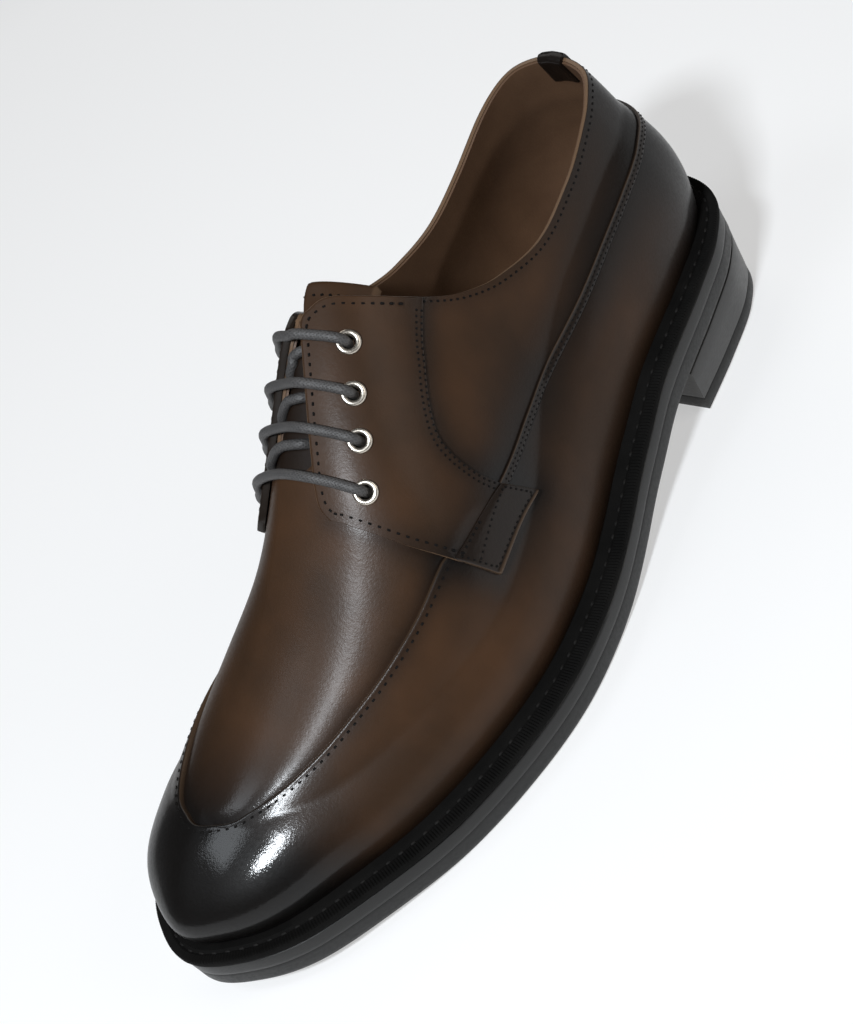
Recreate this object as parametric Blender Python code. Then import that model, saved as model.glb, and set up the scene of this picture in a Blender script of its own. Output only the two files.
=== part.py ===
# U-tip derby shoe for the left foot: a hollow leather upper on a welted sole with a stacked heel.
# Tables are in millimetres: t runs from the heel's back to the toe, x to the outer side, z up.
import math

import bpy
import bmesh
import numpy as np

MM = 0.001

# Sole
SOLE_EDGE = 16.5          # outsole bottom to welt top
WELT_THICK = 3.8
MIDSOLE_THICK = 5.4
GAP = 0.3                 # clearance between neighbours
LAID = 0.5                # clearance of a piece laid on the upper's curve
WELT_LAP = 4.0            # how far the welt reaches in under the upper
HEEL_BREAST = 62.2        # t of the heel's front face
HEEL_TAPER = 1.2
LIFT_THICK = 5.5
INSOLE_RISE = 2.4         # insole top above the welt
SOLE_STEPS = 34           # sections along the sole, and along the heel
HEEL_STEPS = 20

# Upper
WALL = 2.2
APRON_STEP = 0.9          # the apron lies this far below the vamp wall
OVERLAY = 1.5             # thickness of the facing leather
FACING_TIP = 2.0          # width of its blunt front corner
FACING_INSET = 0.4        # its edge below the collar's
TAB_LAID = 0.7
TAB_THICK = 1.1
STRAP_WIDTH = 3.4
STRAP_THICK = 0.9
PULL_THICK = 1.0
PULL_RISE = 1.4           # how far the pull tab stands above the collar
PULL_OUTSIDE = 9.0        # its length down the outside and the inside
PULL_INSIDE = 10.0
WALL_ROWS = 6             # rows up the vamp wall, then over the apron
TOP_ROWS = 7
HEEL_FAN = 36.0           # columns fan out behind this t
TOE_FAN = 258.0           # and ahead of this one
STATION_END = TOE_FAN + 36.0
THROAT_END = 172.0
THROAT_ROUND = 9.0
THROAT_BACK = 0.7         # the opening's edge lies this far behind the facing's
MEDIAL_SHIFT = 4.0        # the inner facing sits this much nearer the toe
COLLAR_FADE = (85.0, 25.0)    # t where the inner collar starts to shift, and over what length
THROAT_FADE = (158.0, 10.0)   # the same where the opening's shift ends
CORNER_FADE = (166.0, 8.0)    # and where the facing's front corner follows the ridge
TONGUE_DROP = WALL + 1.8  # tongue's face below the upper's outer face
TONGUE_THICK = 1.8
TONGUE_TOP = 122.0        # t of the tongue's top edge at the ridge
TONGUE_SLANT = 0.55       # the edge falls back this much for each millimetre to the side
STEEPEST = 2.0            # slope beyond which the tongue gets no deeper

# Lacing
EYELET_OUTER = 3.9
EYELET_HOLE = 2.1
EYELET_HEIGHT = 0.9
LACE_RADIUS = 1.6
CORD_SIDES = 7
BAR_SAG = 1.2             # how far a bar sinks over the ridge
CROSS_ROOM = 4.2          # from the opening's edge to a slanted run's end
CROSS_CLEAR = 2.5         # and from the bar's t

# Feather line, where the upper meets the welt
FEATHER_COLUMNS = ("t", "lateral", "medial")
FEATHER = [
    (8, 20.5, 19.0),
    (20, 27.8, 28.0),
    (40, 31.8, 32.0),
    (70, 35.0, 32.0),
    (105, 38.8, 30.8),
    (140, 45.8, 34.2),
    (175, 49.6, 41.5),
    (205, 45.8, 45.8),
    (232, 37.8, 45.0),
    (256, 27.2, 40.6),
    (276, 16.0, 33.2),
    (286, 5.2, 22.6),
]
HEEL_BACK = (0.5, 2.6)    # x, t
TOE_TIP = (-8.3, 292.0)

# Outsole's underside: heel seat, arch, flat tread, toe spring
UNDERSIDE = [
    (0, 23.0),
    (40, 20.8),
    (72, 18.0),
    (95, 11.3),
    (122, 4.0),
    (150, 0.2),
    (165, 0.0),
    (225, 0.0),
    (255, 2.3),
    (280, 5.0),
    (300, 8.0),
]
WELT_WIDTH = [(0, 6.2), (60, 7.5), (110, 8.8), (170, 9.3), (260, 8.2), (300, 6.2)]

# Sections of the last: ridge over the instep, roundness of each side, swell above the feather line
LAST_COLUMNS = ("t", "ridge_x", "ridge_z", "round_lateral", "round_medial", "swell", "swell_height")
LAST = [
    (0, 1.0, 150.0, 1.90, 1.90, 3.5, 24),
    (30, 1.0, 150.0, 1.60, 1.60, 3.5, 24),
    (60, 0.0, 148.0, 1.40, 1.45, 3.0, 22),
    (90, -4.0, 140.5, 1.32, 1.50, 3.0, 20),
    (115, -8.5, 132.5, 1.45, 1.62, 3.0, 18),
    (140, -9.0, 121.0, 1.70, 1.60, 3.0, 16),
    (165, -7.5, 104.0, 1.90, 1.60, 3.0, 14),
    (190, -6.8, 84.5, 2.00, 1.62, 3.0, 13),
    (215, -7.5, 68.8, 2.10, 1.95, 3.0, 13),
    (240, -8.5, 58.3, 2.20, 2.25, 3.5, 13),
    (258, -9.0, 52.0, 2.30, 2.40, 4.0, 14),
    (300, -9.5, 42.0, 2.30, 2.40, 4.0, 14),
]

# Edges on the upper, by station along it
TOPLINE = [
    (0, 107.5),
    (12, 106.0),
    (30, 100.0),
    (50, 93.5),
    (70, 90.3),
    (88, 93.5),
    (100, 99.5),
    (110, 108.5),
    (118, 117.0),
    (126, 125.0),
]
APRON_COLUMNS = ("t", "lateral", "medial")
APRON = [
    (160, 38.0, 33.4),
    (172, 37.5, 36.0),
    (188, 35.8, 38.6),
    (204, 32.2, 38.4),
    (220, 27.0, 35.8),
    (234, 21.6, 32.2),
    (246, 15.6, 27.8),
    (256, 8.8, 23.2),
    (262, 2.9, 18.2),
]
APRON_TIP = (-8.3, 265.4)
STRAP_LINE = [
    (0, 80.0),
    (10, 79.8),
    (20, 79.0),
    (28, 77.6),
    (42, 75.0),
    (70, 69.5),
    (96, 64.8),
    (116, 62.4),
    (136.5, 61.9),
]
# front_arc is the front edge's distance from the ridge along the leather
FACING_COLUMNS = ("t", "lower_z", "front_arc")
FACING = [
    (110.5, 107.4, 33.5),
    (115.5, 105.0, 25.5),
    (121.5, 101.6, 17.2),
    (128, 97.6, 7.3),
    (131, 95.8, 4.2),
    (134.8, 93.4, 2.8),
    (140, 89.0, 4.6),
    (143.5, 84.4, 5.9),
    (145, 78.5, 6.4),
    (146, 63.6, 6.8),
    (152, 63.4, 8.6),
    (159.5, 63.2, 10.6),
    (166.5, 63.0, 12.8),
    (169, 64.6, 13.5),
    (172.5, 72.2, 14.7),
    (176, 82.9, 16.6),
    (178, 89.0, 20.0),
]
# t and z of a tab: back low, front low, front high, back high
TAB_CORNERS = ((133.5, 50.8), (163.3, 50.0), (168.2, 62.2), (140.8, 62.2))
# t of an eyelet, and its distance from the ridge along the leather
EYELETS = [(134.5, 18.1), (146.2, 23.2), (156.5, 27.0), (167.5, 30.8)]
# t along the tongue, and its half width
TONGUE = [(112, 17.0), (130, 19.0), (150, 20.0), (168, 18.0), (178, 14.0)]


def smooth(rows, column=1):
    """A function of the first column: a monotone cubic through the rows."""
    x = np.array([row[0] for row in rows], float)
    y = np.array([row[column] for row in rows], float)
    h = np.diff(x)
    slope = np.diff(y) / h
    m = np.concatenate([[slope[0]], np.zeros(len(x) - 2), [slope[-1]]])
    for i in range(1, len(x) - 1):
        if slope[i - 1] * slope[i] > 0:
            a, b = 2 * h[i] + h[i - 1], h[i] + 2 * h[i - 1]
            m[i] = (a + b) / (a / slope[i - 1] + b / slope[i])

    def value(t):
        t = np.clip(np.asarray(t, float), x[0], x[-1])
        i = np.clip(np.searchsorted(x, t, side="right") - 1, 0, len(h) - 1)
        u = (t - x[i]) / h[i]
        ends = (1 + 2 * u) * (1 - u) ** 2 * y[i] + u * u * (3 - 2 * u) * y[i + 1]
        return ends + u * (1 - u) * h[i] * ((1 - u) * m[i] - u * m[i + 1])

    return value


def closed_curve(points, per=14):
    """A smooth loop through the points (centripetal, so it does not overshoot)."""
    p = np.array(points, float)
    out = []
    for i in range(len(p)):
        a, b, c, d = p[i - 1], p[i], p[(i + 1) % len(p)], p[(i + 2) % len(p)]
        k1 = math.dist(a, b) ** 0.5
        k2 = k1 + math.dist(b, c) ** 0.5
        k3 = k2 + math.dist(c, d) ** 0.5
        for k in np.linspace(k1, k2, per, endpoint=False):
            ab = a + (b - a) * k / k1
            bc = b + (c - b) * (k - k1) / (k2 - k1)
            cd = c + (d - c) * (k - k2) / (k3 - k2)
            abc = ab + (bc - ab) * k / k2
            bcd = bc + (cd - bc) * (k - k1) / (k3 - k1)
            out.append(abc + (bcd - abc) * (k - k1) / (k2 - k1))
    return np.array(out)


def outline(rows, back, tip):
    """The closed plan outline of a table with lateral and medial columns."""
    lateral = [(r[1], r[0]) for r in rows]
    medial = [(-r[2], r[0]) for r in reversed(rows)]
    return closed_curve([back] + lateral + [tip] + medial)


def grown(loop, width):
    """The loop moved outwards by width(t)."""
    side = np.roll(loop, -1, axis=0) - np.roll(loop, 1, axis=0)
    normal = np.column_stack([side[:, 1], -side[:, 0]]) / np.linalg.norm(side, axis=1)[:, None]
    return loop + normal * np.asarray(width(loop[:, 1]))[:, None]


underside = smooth(UNDERSIDE)
welt_width = smooth(WELT_WIDTH)
topline = smooth(TOPLINE)
strap_line = smooth(STRAP_LINE)
facing_lower, facing_front = smooth(FACING, 1), smooth(FACING, 2)
last_curves = [smooth(LAST, k) for k in range(1, len(LAST_COLUMNS))]
ridge_x, ridge_z, round_lateral, round_medial, swell, swell_height = last_curves
feather_loop = outline(FEATHER, HEEL_BACK, TOE_TIP)
welt_loop = grown(feather_loop, welt_width)
apron_loop = outline(APRON, (0.0, APRON[0][0] - 30.0), APRON_TIP)
centre_x, centre_t = (welt_loop.min(axis=0) + welt_loop.max(axis=0)) / 2


def world(points):
    """Section coordinates to metres: toe at -Y, outer side at +X, centred over the sole."""
    p = np.asarray(points, float).reshape(-1, 3)
    return np.column_stack([p[:, 0] - centre_x, centre_t - p[:, 1], p[:, 2]]) * MM


def reach(loop, start, direction):
    """Distance from start to the loop."""
    edge = np.roll(loop, -1, axis=0) - loop
    rel = loop - start
    cross = direction[0] * edge[:, 1] - direction[1] * edge[:, 0]
    cross = np.where(np.abs(cross) < 1e-9, 1e-9, cross)
    far = (rel[:, 0] * edge[:, 1] - rel[:, 1] * edge[:, 0]) / cross
    along = (rel[:, 0] * direction[1] - rel[:, 1] * direction[0]) / cross
    return far[(far > 0) & (along >= -1e-9) & (along <= 1 + 1e-9)].min()


class Column:
    """One line up the last, from the feather line (u = 0) to the ridge (u = 1)."""

    def __init__(self, station, side):
        if station < HEEL_FAN:
            turn = station / HEEL_FAN * math.pi / 2
            self.pole = np.array([ridge_x(HEEL_FAN), HEEL_FAN])
            self.out = np.array([side * math.sin(turn), -math.cos(turn)])
        elif station <= TOE_FAN:
            self.pole, self.out = np.array([ridge_x(station), station]), np.array([side, 0.0])
        else:
            turn = (STATION_END - station) / (STATION_END - TOE_FAN) * math.pi / 2
            self.pole = np.array([ridge_x(TOE_FAN), TOE_FAN])
            self.out = np.array([side * math.sin(turn), math.cos(turn)])
        self.reach = reach(feather_loop, self.pole, self.out)
        self.base = self.pole + self.out * self.reach
        t, share = self.base[1], (1 + self.out[0]) / 2
        self.round = float(round_lateral(t) * share + round_medial(t) * (1 - share))
        self.swell, self.swell_height = float(swell(t)), float(swell_height(t))
        self.foot = float(underside(t)) + SOLE_EDGE

    def point(self, u):
        inward = self.reach * (1 - (1 - u**self.round) ** (1 / self.round))
        height = (float(ridge_z(self.base[1] - self.out[1] * inward)) - self.foot) * u
        inward -= self.swell * math.sin(math.pi * min(max(height / (2 * self.swell_height), 0), 1))
        x, t = self.base - self.out * inward
        return np.array([x, t, self.foot + height])

    def at_height(self, z):
        low, high = 0.0, 1.0
        for _ in range(30):
            mid = (low + high) / 2
            low, high = (mid, high) if self.point(mid)[2] < z else (low, mid)
        return (low + high) / 2

    def at_arc(self, distance):
        """u where the column is this far from the ridge along the surface."""
        dense = np.linspace(1, 0, 120)
        points = np.array([self.point(u) for u in dense])
        length = np.concatenate([[0.0], np.cumsum(np.linalg.norm(np.diff(points, axis=0), axis=1))])
        return float(np.interp(distance, length, dense))

    def at_reach(self, distance):
        """u where the column is this far from the ridge in plan."""
        share = min(distance / self.reach, 1.0)
        return (1 - share**self.round) ** (1 / self.round)


def even(here, low, high, count):
    """u values from low to high, evenly spaced along the column."""
    dense = np.linspace(low, high, 40)
    points = np.array([here.point(u) for u in dense])
    length = np.concatenate([[0.0], np.cumsum(np.linalg.norm(np.diff(points, axis=0), axis=1))])
    return np.interp(np.linspace(0, length[-1], count), length, dense)


columns = {}


def column(station, side):
    if station < 0:
        station, side = -station, -side
    if station > STATION_END:
        station, side = 2 * STATION_END - station, -side
    key = (round(station, 4), side)
    if key not in columns:
        columns[key] = Column(station, side)
    return columns[key]


def skin(station, side, u, lift=0.0):
    """A point of the last's surface, moved out along its normal."""
    here = column(station, side)
    p = here.point(u)
    if not lift:
        return p
    if u > 0.995:
        # on the ridge both sides meet, so the normal is taken across it
        t = min(station, TOE_FAN)
        ahead = column(STATION_END, 1).point(0.97) if t > TOE_FAN - 3 else column(t + 3, 1).point(1.0)
        across = column(t, 1).point(0.985) - column(t, -1).point(0.985)
        along = ahead - column(t - 3, 1).point(1.0)
    else:
        up = here.point(min(u + 0.004, 1.0)) - here.point(max(u - 0.004, 0.0))
        along = column(station + 1.0, side).point(u) - column(station - 1.0, side).point(u)
        across = -side * up
    normal = np.cross(across, along)
    normal *= lift / np.linalg.norm(normal)
    return p + normal


def below(t, offset, drop):
    """A point under the instep, offset from the ridge in plan and this far inside the last's surface."""
    side = 1 if offset >= 0 else -1
    here = column(t, side)

    def height(distance):
        return here.point(here.at_reach(max(distance, 0.0)))[2]

    slope = height(abs(offset) + 0.6) - height(abs(offset) - 0.6)
    p = here.point(here.at_reach(abs(offset)))
    p[2] -= drop * math.hypot(1.0, min(abs(slope) / min(1.2, abs(offset) + 0.6), STEEPEST))
    return p


def solid(name, points, faces, finish, weld=1e-6):
    """A named mesh object of the given faces, closed and facing out."""
    mesh = bpy.data.meshes.new(name)
    mesh.from_pydata([tuple(p) for p in world(points)], [], faces)
    shape = bmesh.new()
    shape.from_mesh(mesh)
    bmesh.ops.remove_doubles(shape, verts=shape.verts, dist=weld)
    bmesh.ops.recalc_face_normals(shape, faces=shape.faces)
    bmesh.ops.triangulate(shape, faces=shape.faces)
    shape.to_mesh(mesh)
    shape.free()
    mesh.materials.append(finish)
    item = bpy.data.objects.new(name, mesh)
    bpy.context.scene.collection.objects.link(item)
    item.parent = shoe
    return item


def material(name, colour, roughness, metallic=0.0):
    finish = bpy.data.materials.new(name)
    finish.use_nodes = True
    shader = finish.node_tree.nodes["Principled BSDF"]
    shader.inputs["Base Color"].default_value = (*colour, 1.0)
    shader.inputs["Roughness"].default_value = roughness
    shader.inputs["Metallic"].default_value = metallic
    return finish


def band(first, second):
    """Quads between two closed loops of equal length, given as first indices and a count."""
    (a, count), (b, _) = first, second
    return [(a + i, a + (i + 1) % count, b + (i + 1) % count, b + i) for i in range(count)]


def sides(loop):
    """The lateral and medial x of a plan loop as functions of t, with the t of its ends."""
    start, end = loop[:, 1].argmin(), loop[:, 1].argmax()
    lateral = loop[start : end + 1]
    medial = np.vstack([loop[end:], loop[: start + 1]])[::-1]

    def left(t):
        return np.interp(t, lateral[:, 1], lateral[:, 0])

    def right(t):
        return np.interp(t, medial[:, 1], medial[:, 0])

    return loop[start, 1], loop[end, 1], left, right


def level(inset, z, front=None, steps=SOLE_STEPS):
    """One loop round the sole: the welt's outline less inset(t), at the height z(t), cut off at front."""
    back, toe, lateral, medial = sides(grown(welt_loop, lambda t: -inset + 0 * t))
    turn = math.pi if front is None else math.pi / 2
    length = (toe - back) / 2 if front is None else front - back
    t = back + length * (1 - np.cos(np.linspace(0, turn, steps + 1)))
    outer = [(lateral(v), v, z(v)) for v in t]
    inner = [(medial(v), v, z(v)) for v in t[::-1]]
    return outer + inner


def plate(name, levels, finish):
    """A solid between stacked loops, closed across the lowest and the highest."""
    count = len(levels[0])
    points = [p for loop in levels for p in loop]
    faces = [f for k in range(len(levels) - 1) for f in band((k * count, count), ((k + 1) * count, count))]
    for first in (0, (len(levels) - 1) * count):
        last = first + count - 1
        faces += [(first + i, first + i + 1, last - 1 - i, last - i) for i in range(count // 2 - 1)]
    return solid(name, points, faces, finish)


def raised(height):
    return lambda t: float(underside(t)) + height


def make_sole():
    sole_shares = (1 - np.cos(np.linspace(0, math.pi, SOLE_STEPS + 1))) / 2
    outsole_top = SOLE_EDGE - WELT_THICK - MIDSOLE_THICK - 2 * GAP
    midsole_low = outsole_top + GAP
    midsole_top = midsole_low + MIDSOLE_THICK
    welt_low = midsole_top + GAP
    # each row is how far a level is set in from the sole's outline, and its height
    outsole = [(2.2, 0.0), (1.3, 0.9), (0.9, outsole_top - 0.5), (1.4, outsole_top)]
    plate("outsole", [level(inset, raised(height)) for inset, height in outsole], rubber)
    midsole = [(1.5, midsole_low), (0.8, midsole_low + 0.6), (0.8, midsole_top - 0.6), (1.6, midsole_top)]
    plate("midsole", [level(inset, raised(height)) for inset, height in midsole], edge_leather)

    inner_loop = grown(feather_loop, lambda t: -WELT_LAP + 0 * t)
    inner_back, inner_toe, inner_lateral, inner_medial = sides(inner_loop)

    def welt_inner(height):
        z = raised(height)
        t = inner_back + (inner_toe - inner_back) * sole_shares
        return [(inner_lateral(v), v, z(v)) for v in t] + [(inner_medial(v), v, z(v)) for v in t[::-1]]

    outer = [(0.9, welt_low), (0.2, welt_low + 0.7), (0.0, SOLE_EDGE - 0.8), (0.8, SOLE_EDGE)]
    loops = [level(inset, raised(height)) for inset, height in outer]
    loops += [welt_inner(SOLE_EDGE), welt_inner(welt_low)]
    count = len(loops[0])
    faces = []
    for k in range(len(loops)):
        faces += band((k * count, count), ((k + 1) % len(loops) * count, count))
    solid("welt", [p for loop in loops for p in loop], faces, edge_leather)

    bed = grown(feather_loop, lambda t: -(WELT_LAP + GAP) + 0 * t)
    bed_back, bed_toe, bed_lateral, bed_medial = sides(bed)

    def bed_level(height, inset):
        z = raised(height)
        t = bed_back + inset + (bed_toe - bed_back - 2 * inset) * sole_shares
        lateral = [(bed_lateral(v) - inset, v, z(v)) for v in t]
        return lateral + [(bed_medial(v) + inset, v, z(v)) for v in t[::-1]]

    bed_top = SOLE_EDGE + INSOLE_RISE
    bed = [(welt_low, 0.3), (bed_top - 0.8, 0.3), (bed_top, 1.0)]
    plate("insole", [bed_level(height, inset) for height, inset in bed], lining)

    def seat(t):
        return float(underside(t)) - GAP

    def flat(z):
        return lambda t: z

    top = LIFT_THICK + GAP
    stack = [(HEEL_TAPER + 1.4, flat(top)), (1.4, lambda t: seat(t) - 0.7), (1.9, seat)]
    plate("heel_stack", [level(inset, z, HEEL_BREAST, HEEL_STEPS) for inset, z in stack], heel_finish)
    lift = [(2.6, 0.0, HEEL_BREAST - 0.6), (1.7, 0.8, HEEL_BREAST), (1.5, LIFT_THICK, HEEL_BREAST)]
    levels = [level(HEEL_TAPER + inset, flat(z), front, HEEL_STEPS) for inset, z, front in lift]
    plate("heel_lift", levels, rubber)


def shift(side):
    """How much nearer the toe the lacing sits on this side."""
    return 0.0 if side > 0 else MEDIAL_SHIFT


def fade(t, start, length):
    """From 0 at start to 1, smoothly."""
    share = min(max((t - start) / length, 0.0), 1.0)
    return share * share * (3 - 2 * share)


def opening(t, side):
    """Distance from the ridge to the edge of the opening over the instep, with a round end."""
    left = (THROAT_END - t) / THROAT_ROUND
    if left <= 0:
        return 0.0
    along = t - shift(side) * (1 - fade(t, *THROAT_FADE))
    edge = float(facing_front(along)) + THROAT_BACK
    return edge * (1.0 if left >= 1 else math.sqrt(1 - (1 - left) ** 2))


def collar(t, side):
    """Height of the top edge, which rises to the inner facing nearer the toe."""
    return float(topline(t - shift(side) * fade(t, *COLLAR_FADE)))


def rim(station, side):
    """u of the upper's top edge: the collar, then the throat, then the ridge."""
    here = column(station, side)
    throat = here.at_arc(opening(station, side)) if station > FACING[0][0] else 1.0
    if station > TOPLINE[-1][0] + shift(side):
        return throat
    return min(throat, here.at_height(collar(station, side)))


def apron_edge(station, side):
    """u where the apron's seam crosses this column."""
    first = APRON[0][0] + 2
    if station < first:
        return rim(station, side) * apron_edge(first, side) / rim(first, side)
    here = column(station, side)
    return here.at_reach(reach(apron_loop, here.pole, here.out))


def upper_stations():
    turn = np.linspace(math.pi / 2, 0, 7)
    heel = list(np.linspace(0, HEEL_FAN, 8)) + list(np.linspace(HEEL_FAN, 112, 10)[1:])
    throat = list(np.linspace(112, THROAT_END - THROAT_ROUND, 10)[1:-1])
    throat += list(THROAT_END - THROAT_ROUND * (1 - np.cos(turn)))
    front = list(np.linspace(THROAT_END, TOE_FAN, 11)[1:]) + list(np.linspace(TOE_FAN, STATION_END, 10)[1:])
    return heel + throat + front


def make_upper():
    stations = upper_stations()
    ring = [(s, 1) for s in stations] + [(s, -1) for s in stations[-2:0:-1]]
    outer, inner = [], []
    for station, side in ring:
        here = column(station, side)
        low, edge, high = here.at_height(here.foot + GAP), apron_edge(station, side), rim(station, side)
        step = APRON_STEP * min(max((station - APRON[0][0]) / 8, 0), 1)
        # the vamp wall ends in a short slope down to the apron
        rows = [(u, 0.0) for u in even(here, low, edge, WALL_ROWS)]
        rows += [(u, -step) for u in even(here, edge + (high - edge) * 0.02, high, TOP_ROWS)]
        outer += [skin(station, side, u, lift) for u, lift in rows]
        inner += [skin(station, side, u, -WALL) for u, _ in rows]
    # the wall's foot stands level on the welt
    rows = WALL_ROWS + TOP_ROWS
    for i in range(len(ring)):
        inner[i * rows][2] = outer[i * rows][2]
    count = len(ring)
    inside = count * rows
    faces = []
    for i in range(count):
        j = (i + 1) % count
        for r in range(rows - 1):
            quad = (i * rows + r, j * rows + r, j * rows + r + 1, i * rows + r + 1)
            faces += [quad, tuple(inside + k for k in reversed(quad))]
        faces.append((i * rows, inside + i * rows, inside + j * rows, j * rows))
        if max(ring[i][0], ring[j][0]) <= THROAT_END:
            a, b = i * rows + rows - 1, j * rows + rows - 1
            faces.append((a, b, inside + b, inside + a))
    solid("upper", outer + inner, faces, leather)


def patch(name, grid, low, high, finish, place=skin):
    """A thin piece on the upper: grid rows of places, from one lift to the other."""
    rows, cols = len(grid), len(grid[0])
    points = [place(*spot, lift) for lift in (low, high) for row in grid for spot in row]
    count = rows * cols
    faces = []
    for i in range(rows - 1):
        for j in range(cols - 1):
            quad = (i * cols + j, i * cols + j + 1, (i + 1) * cols + j + 1, (i + 1) * cols + j)
            faces += [quad, tuple(count + k for k in reversed(quad))]
    border = [j for j in range(cols)] + [i * cols + cols - 1 for i in range(1, rows)]
    border += [(rows - 1) * cols + j for j in range(cols - 2, -1, -1)]
    border += [i * cols for i in range(rows - 2, 0, -1)]
    faces += [(a, b, count + b, count + a) for a, b in zip(border, border[1:] + border[:1])]
    return solid(name, points, faces, finish)


def make_facing(name, side):
    places = [111.5, 115, 119, 123, 127, 131, 134.8, 138, 141, 143.5, 144.6, 145.4]
    places += [146, 151, 156, 161, 166.5, 169, 172.5, 176, 178]
    grid = []
    for t in places:
        s = t + shift(side)
        here = column(s, side)
        # the front corner keeps its distance from the ridge, so it drops with it
        drop = float(ridge_z(t) - ridge_z(s)) * fade(t, *CORNER_FADE)
        front = float(facing_front(t))
        start = min(here.at_height(float(facing_lower(t)) - drop), here.at_arc(front + FACING_TIP))
        end = here.at_arc(front)
        if s < TOPLINE[-1][0] + shift(side):
            end = min(end, here.at_height(collar(s, side) - FACING_INSET))
        grid.append([(s, side, u) for u in even(here, start, end, 7)])
    patch(name, grid, LAID, LAID + OVERLAY, leather)


def make_tab(name, side):
    (t0, z0), (t1, z1), (t2, z2), (t3, z3) = TAB_CORNERS
    grid = []
    for a in np.linspace(0, 1, 6):
        row = []
        for b in np.linspace(0, 1, 4):
            t = (t0 + (t1 - t0) * a) * (1 - b) + (t3 + (t2 - t3) * a) * b
            z = (z0 + (z1 - z0) * a) * (1 - b) + (z3 + (z2 - z3) * a) * b
            s = t + shift(side)
            row.append((s, side, column(s, side).at_height(z)))
        grid.append(row)
    patch(name, grid, TAB_LAID, TAB_LAID + TAB_THICK, leather)


def make_strap():
    end = STRAP_LINE[-1][0]
    stations = list(np.linspace(0, HEEL_FAN, 9)) + list(np.linspace(HEEL_FAN, end, 13)[1:])
    grid = []
    for t, side in [(t, -1) for t in reversed(stations)] + [(t, 1) for t in stations[1:]]:
        s = t * (1 + shift(side) / end)
        here = column(s, side)
        middle = float(strap_line(t))
        half = STRAP_WIDTH / 2
        grid.append([(s, side, here.at_height(z)) for z in (middle - half, middle, middle + half)])
    patch("strap", grid, LAID, LAID + STRAP_THICK, leather)


def make_pull_tab():
    edge = TOPLINE[0][1]
    outside, inside = GAP + PULL_THICK, -WALL - GAP - PULL_THICK
    low, top, back = edge - PULL_OUTSIDE, edge + PULL_RISE, edge - PULL_INSIDE
    section = [(low, GAP), (low, outside), (top, outside), (top, inside)]
    section += [(back, inside), (back, -WALL - GAP), (edge + GAP, -WALL - GAP), (edge + GAP, GAP)]
    places = [(4.5, -1), (2.2, -1), (0.0, 1), (2.2, 1), (4.5, 1)]
    points = []
    for s, side in places:
        here = column(s, side)
        points += [skin(s, side, here.at_height(z + float(topline(s)) - edge), lift) for z, lift in section]
    count = len(section)
    faces = [f for k in range(len(places) - 1) for f in band((k * count, count), ((k + 1) * count, count))]
    for first in (0, (len(places) - 1) * count):
        ends = [first + i for i in range(count)]
        for corners in ((0, 1, 2, 7), (7, 2, 3, 6), (6, 3, 4, 5)):
            faces.append(tuple(ends[k] for k in corners))
    solid("pull_tab", points, faces, leather)


def make_tongue():
    half = smooth(TONGUE)
    end = TONGUE[-1][0]
    grid = []
    for share in np.linspace(0, 1, 11):
        row = []
        for w in np.linspace(1, -1, 11):
            wide = abs(w) * float(half(TONGUE_TOP + (end - TONGUE_TOP) * share))
            first = TONGUE_TOP - TONGUE_SLANT * wide
            t = first + (end - first) * share
            here = column(t, 1 if w >= 0 else -1)
            row.append((t, here.point(here.at_arc(wide))[0] - float(ridge_x(t))))
        grid.append(row)
    patch("tongue", grid, TONGUE_DROP + TONGUE_THICK, TONGUE_DROP, leather, below)


def frame_at(station, side, u):
    """Surface point with its two tangents and normal."""
    p, q = skin(station, side, u), skin(station, side, u, 1.0)
    normal = q - p
    across = np.cross(normal, [0.0, 1.0, 0.0])
    across /= np.linalg.norm(across)
    return p, across, np.cross(normal, across), normal


def make_eyelet(name, station, side, distance):
    s = station + shift(side)
    p, across, along, normal = frame_at(s, side, column(s, side).at_arc(distance))
    foot = LAID + OVERLAY + GAP
    top = foot + EYELET_HEIGHT
    section = [(EYELET_HOLE, foot), (EYELET_OUTER, foot), (EYELET_OUTER - 0.6, top), (EYELET_HOLE + 0.4, top)]
    turns = 12
    points = []
    for k in range(turns):
        a = 2 * math.pi * k / turns
        spoke = across * math.cos(a) + along * math.sin(a)
        points += [p + spoke * r + normal * h for r, h in section]
    count = len(section)
    faces = [f for k in range(turns) for f in band((k * count, count), ((k + 1) % turns * count, count))]
    solid(name, points, faces, metal)


def tube(name, path, radius, finish):
    """A round solid along a path of points."""
    path = np.array(path, float)
    way = np.gradient(path, axis=0)
    way /= np.linalg.norm(way, axis=1)[:, None]
    turns = np.linspace(0, 2 * math.pi, CORD_SIDES, endpoint=False)
    points = []
    for p, d in zip(path, way):
        side = np.cross(d, [0.0, 0.0, 1.0])
        side /= np.linalg.norm(side)
        up = np.cross(side, d)
        points += [p + (side * math.cos(a) + up * math.sin(a)) * radius for a in turns]
    count = len(turns)
    faces = []
    for k in range(len(path) - 1):
        faces += band((k * count, count), ((k + 1) * count, count))
    faces += [tuple(range(count)), tuple((len(path) - 1) * count + i for i in range(count))]
    return solid(name, points, faces, finish)


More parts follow.
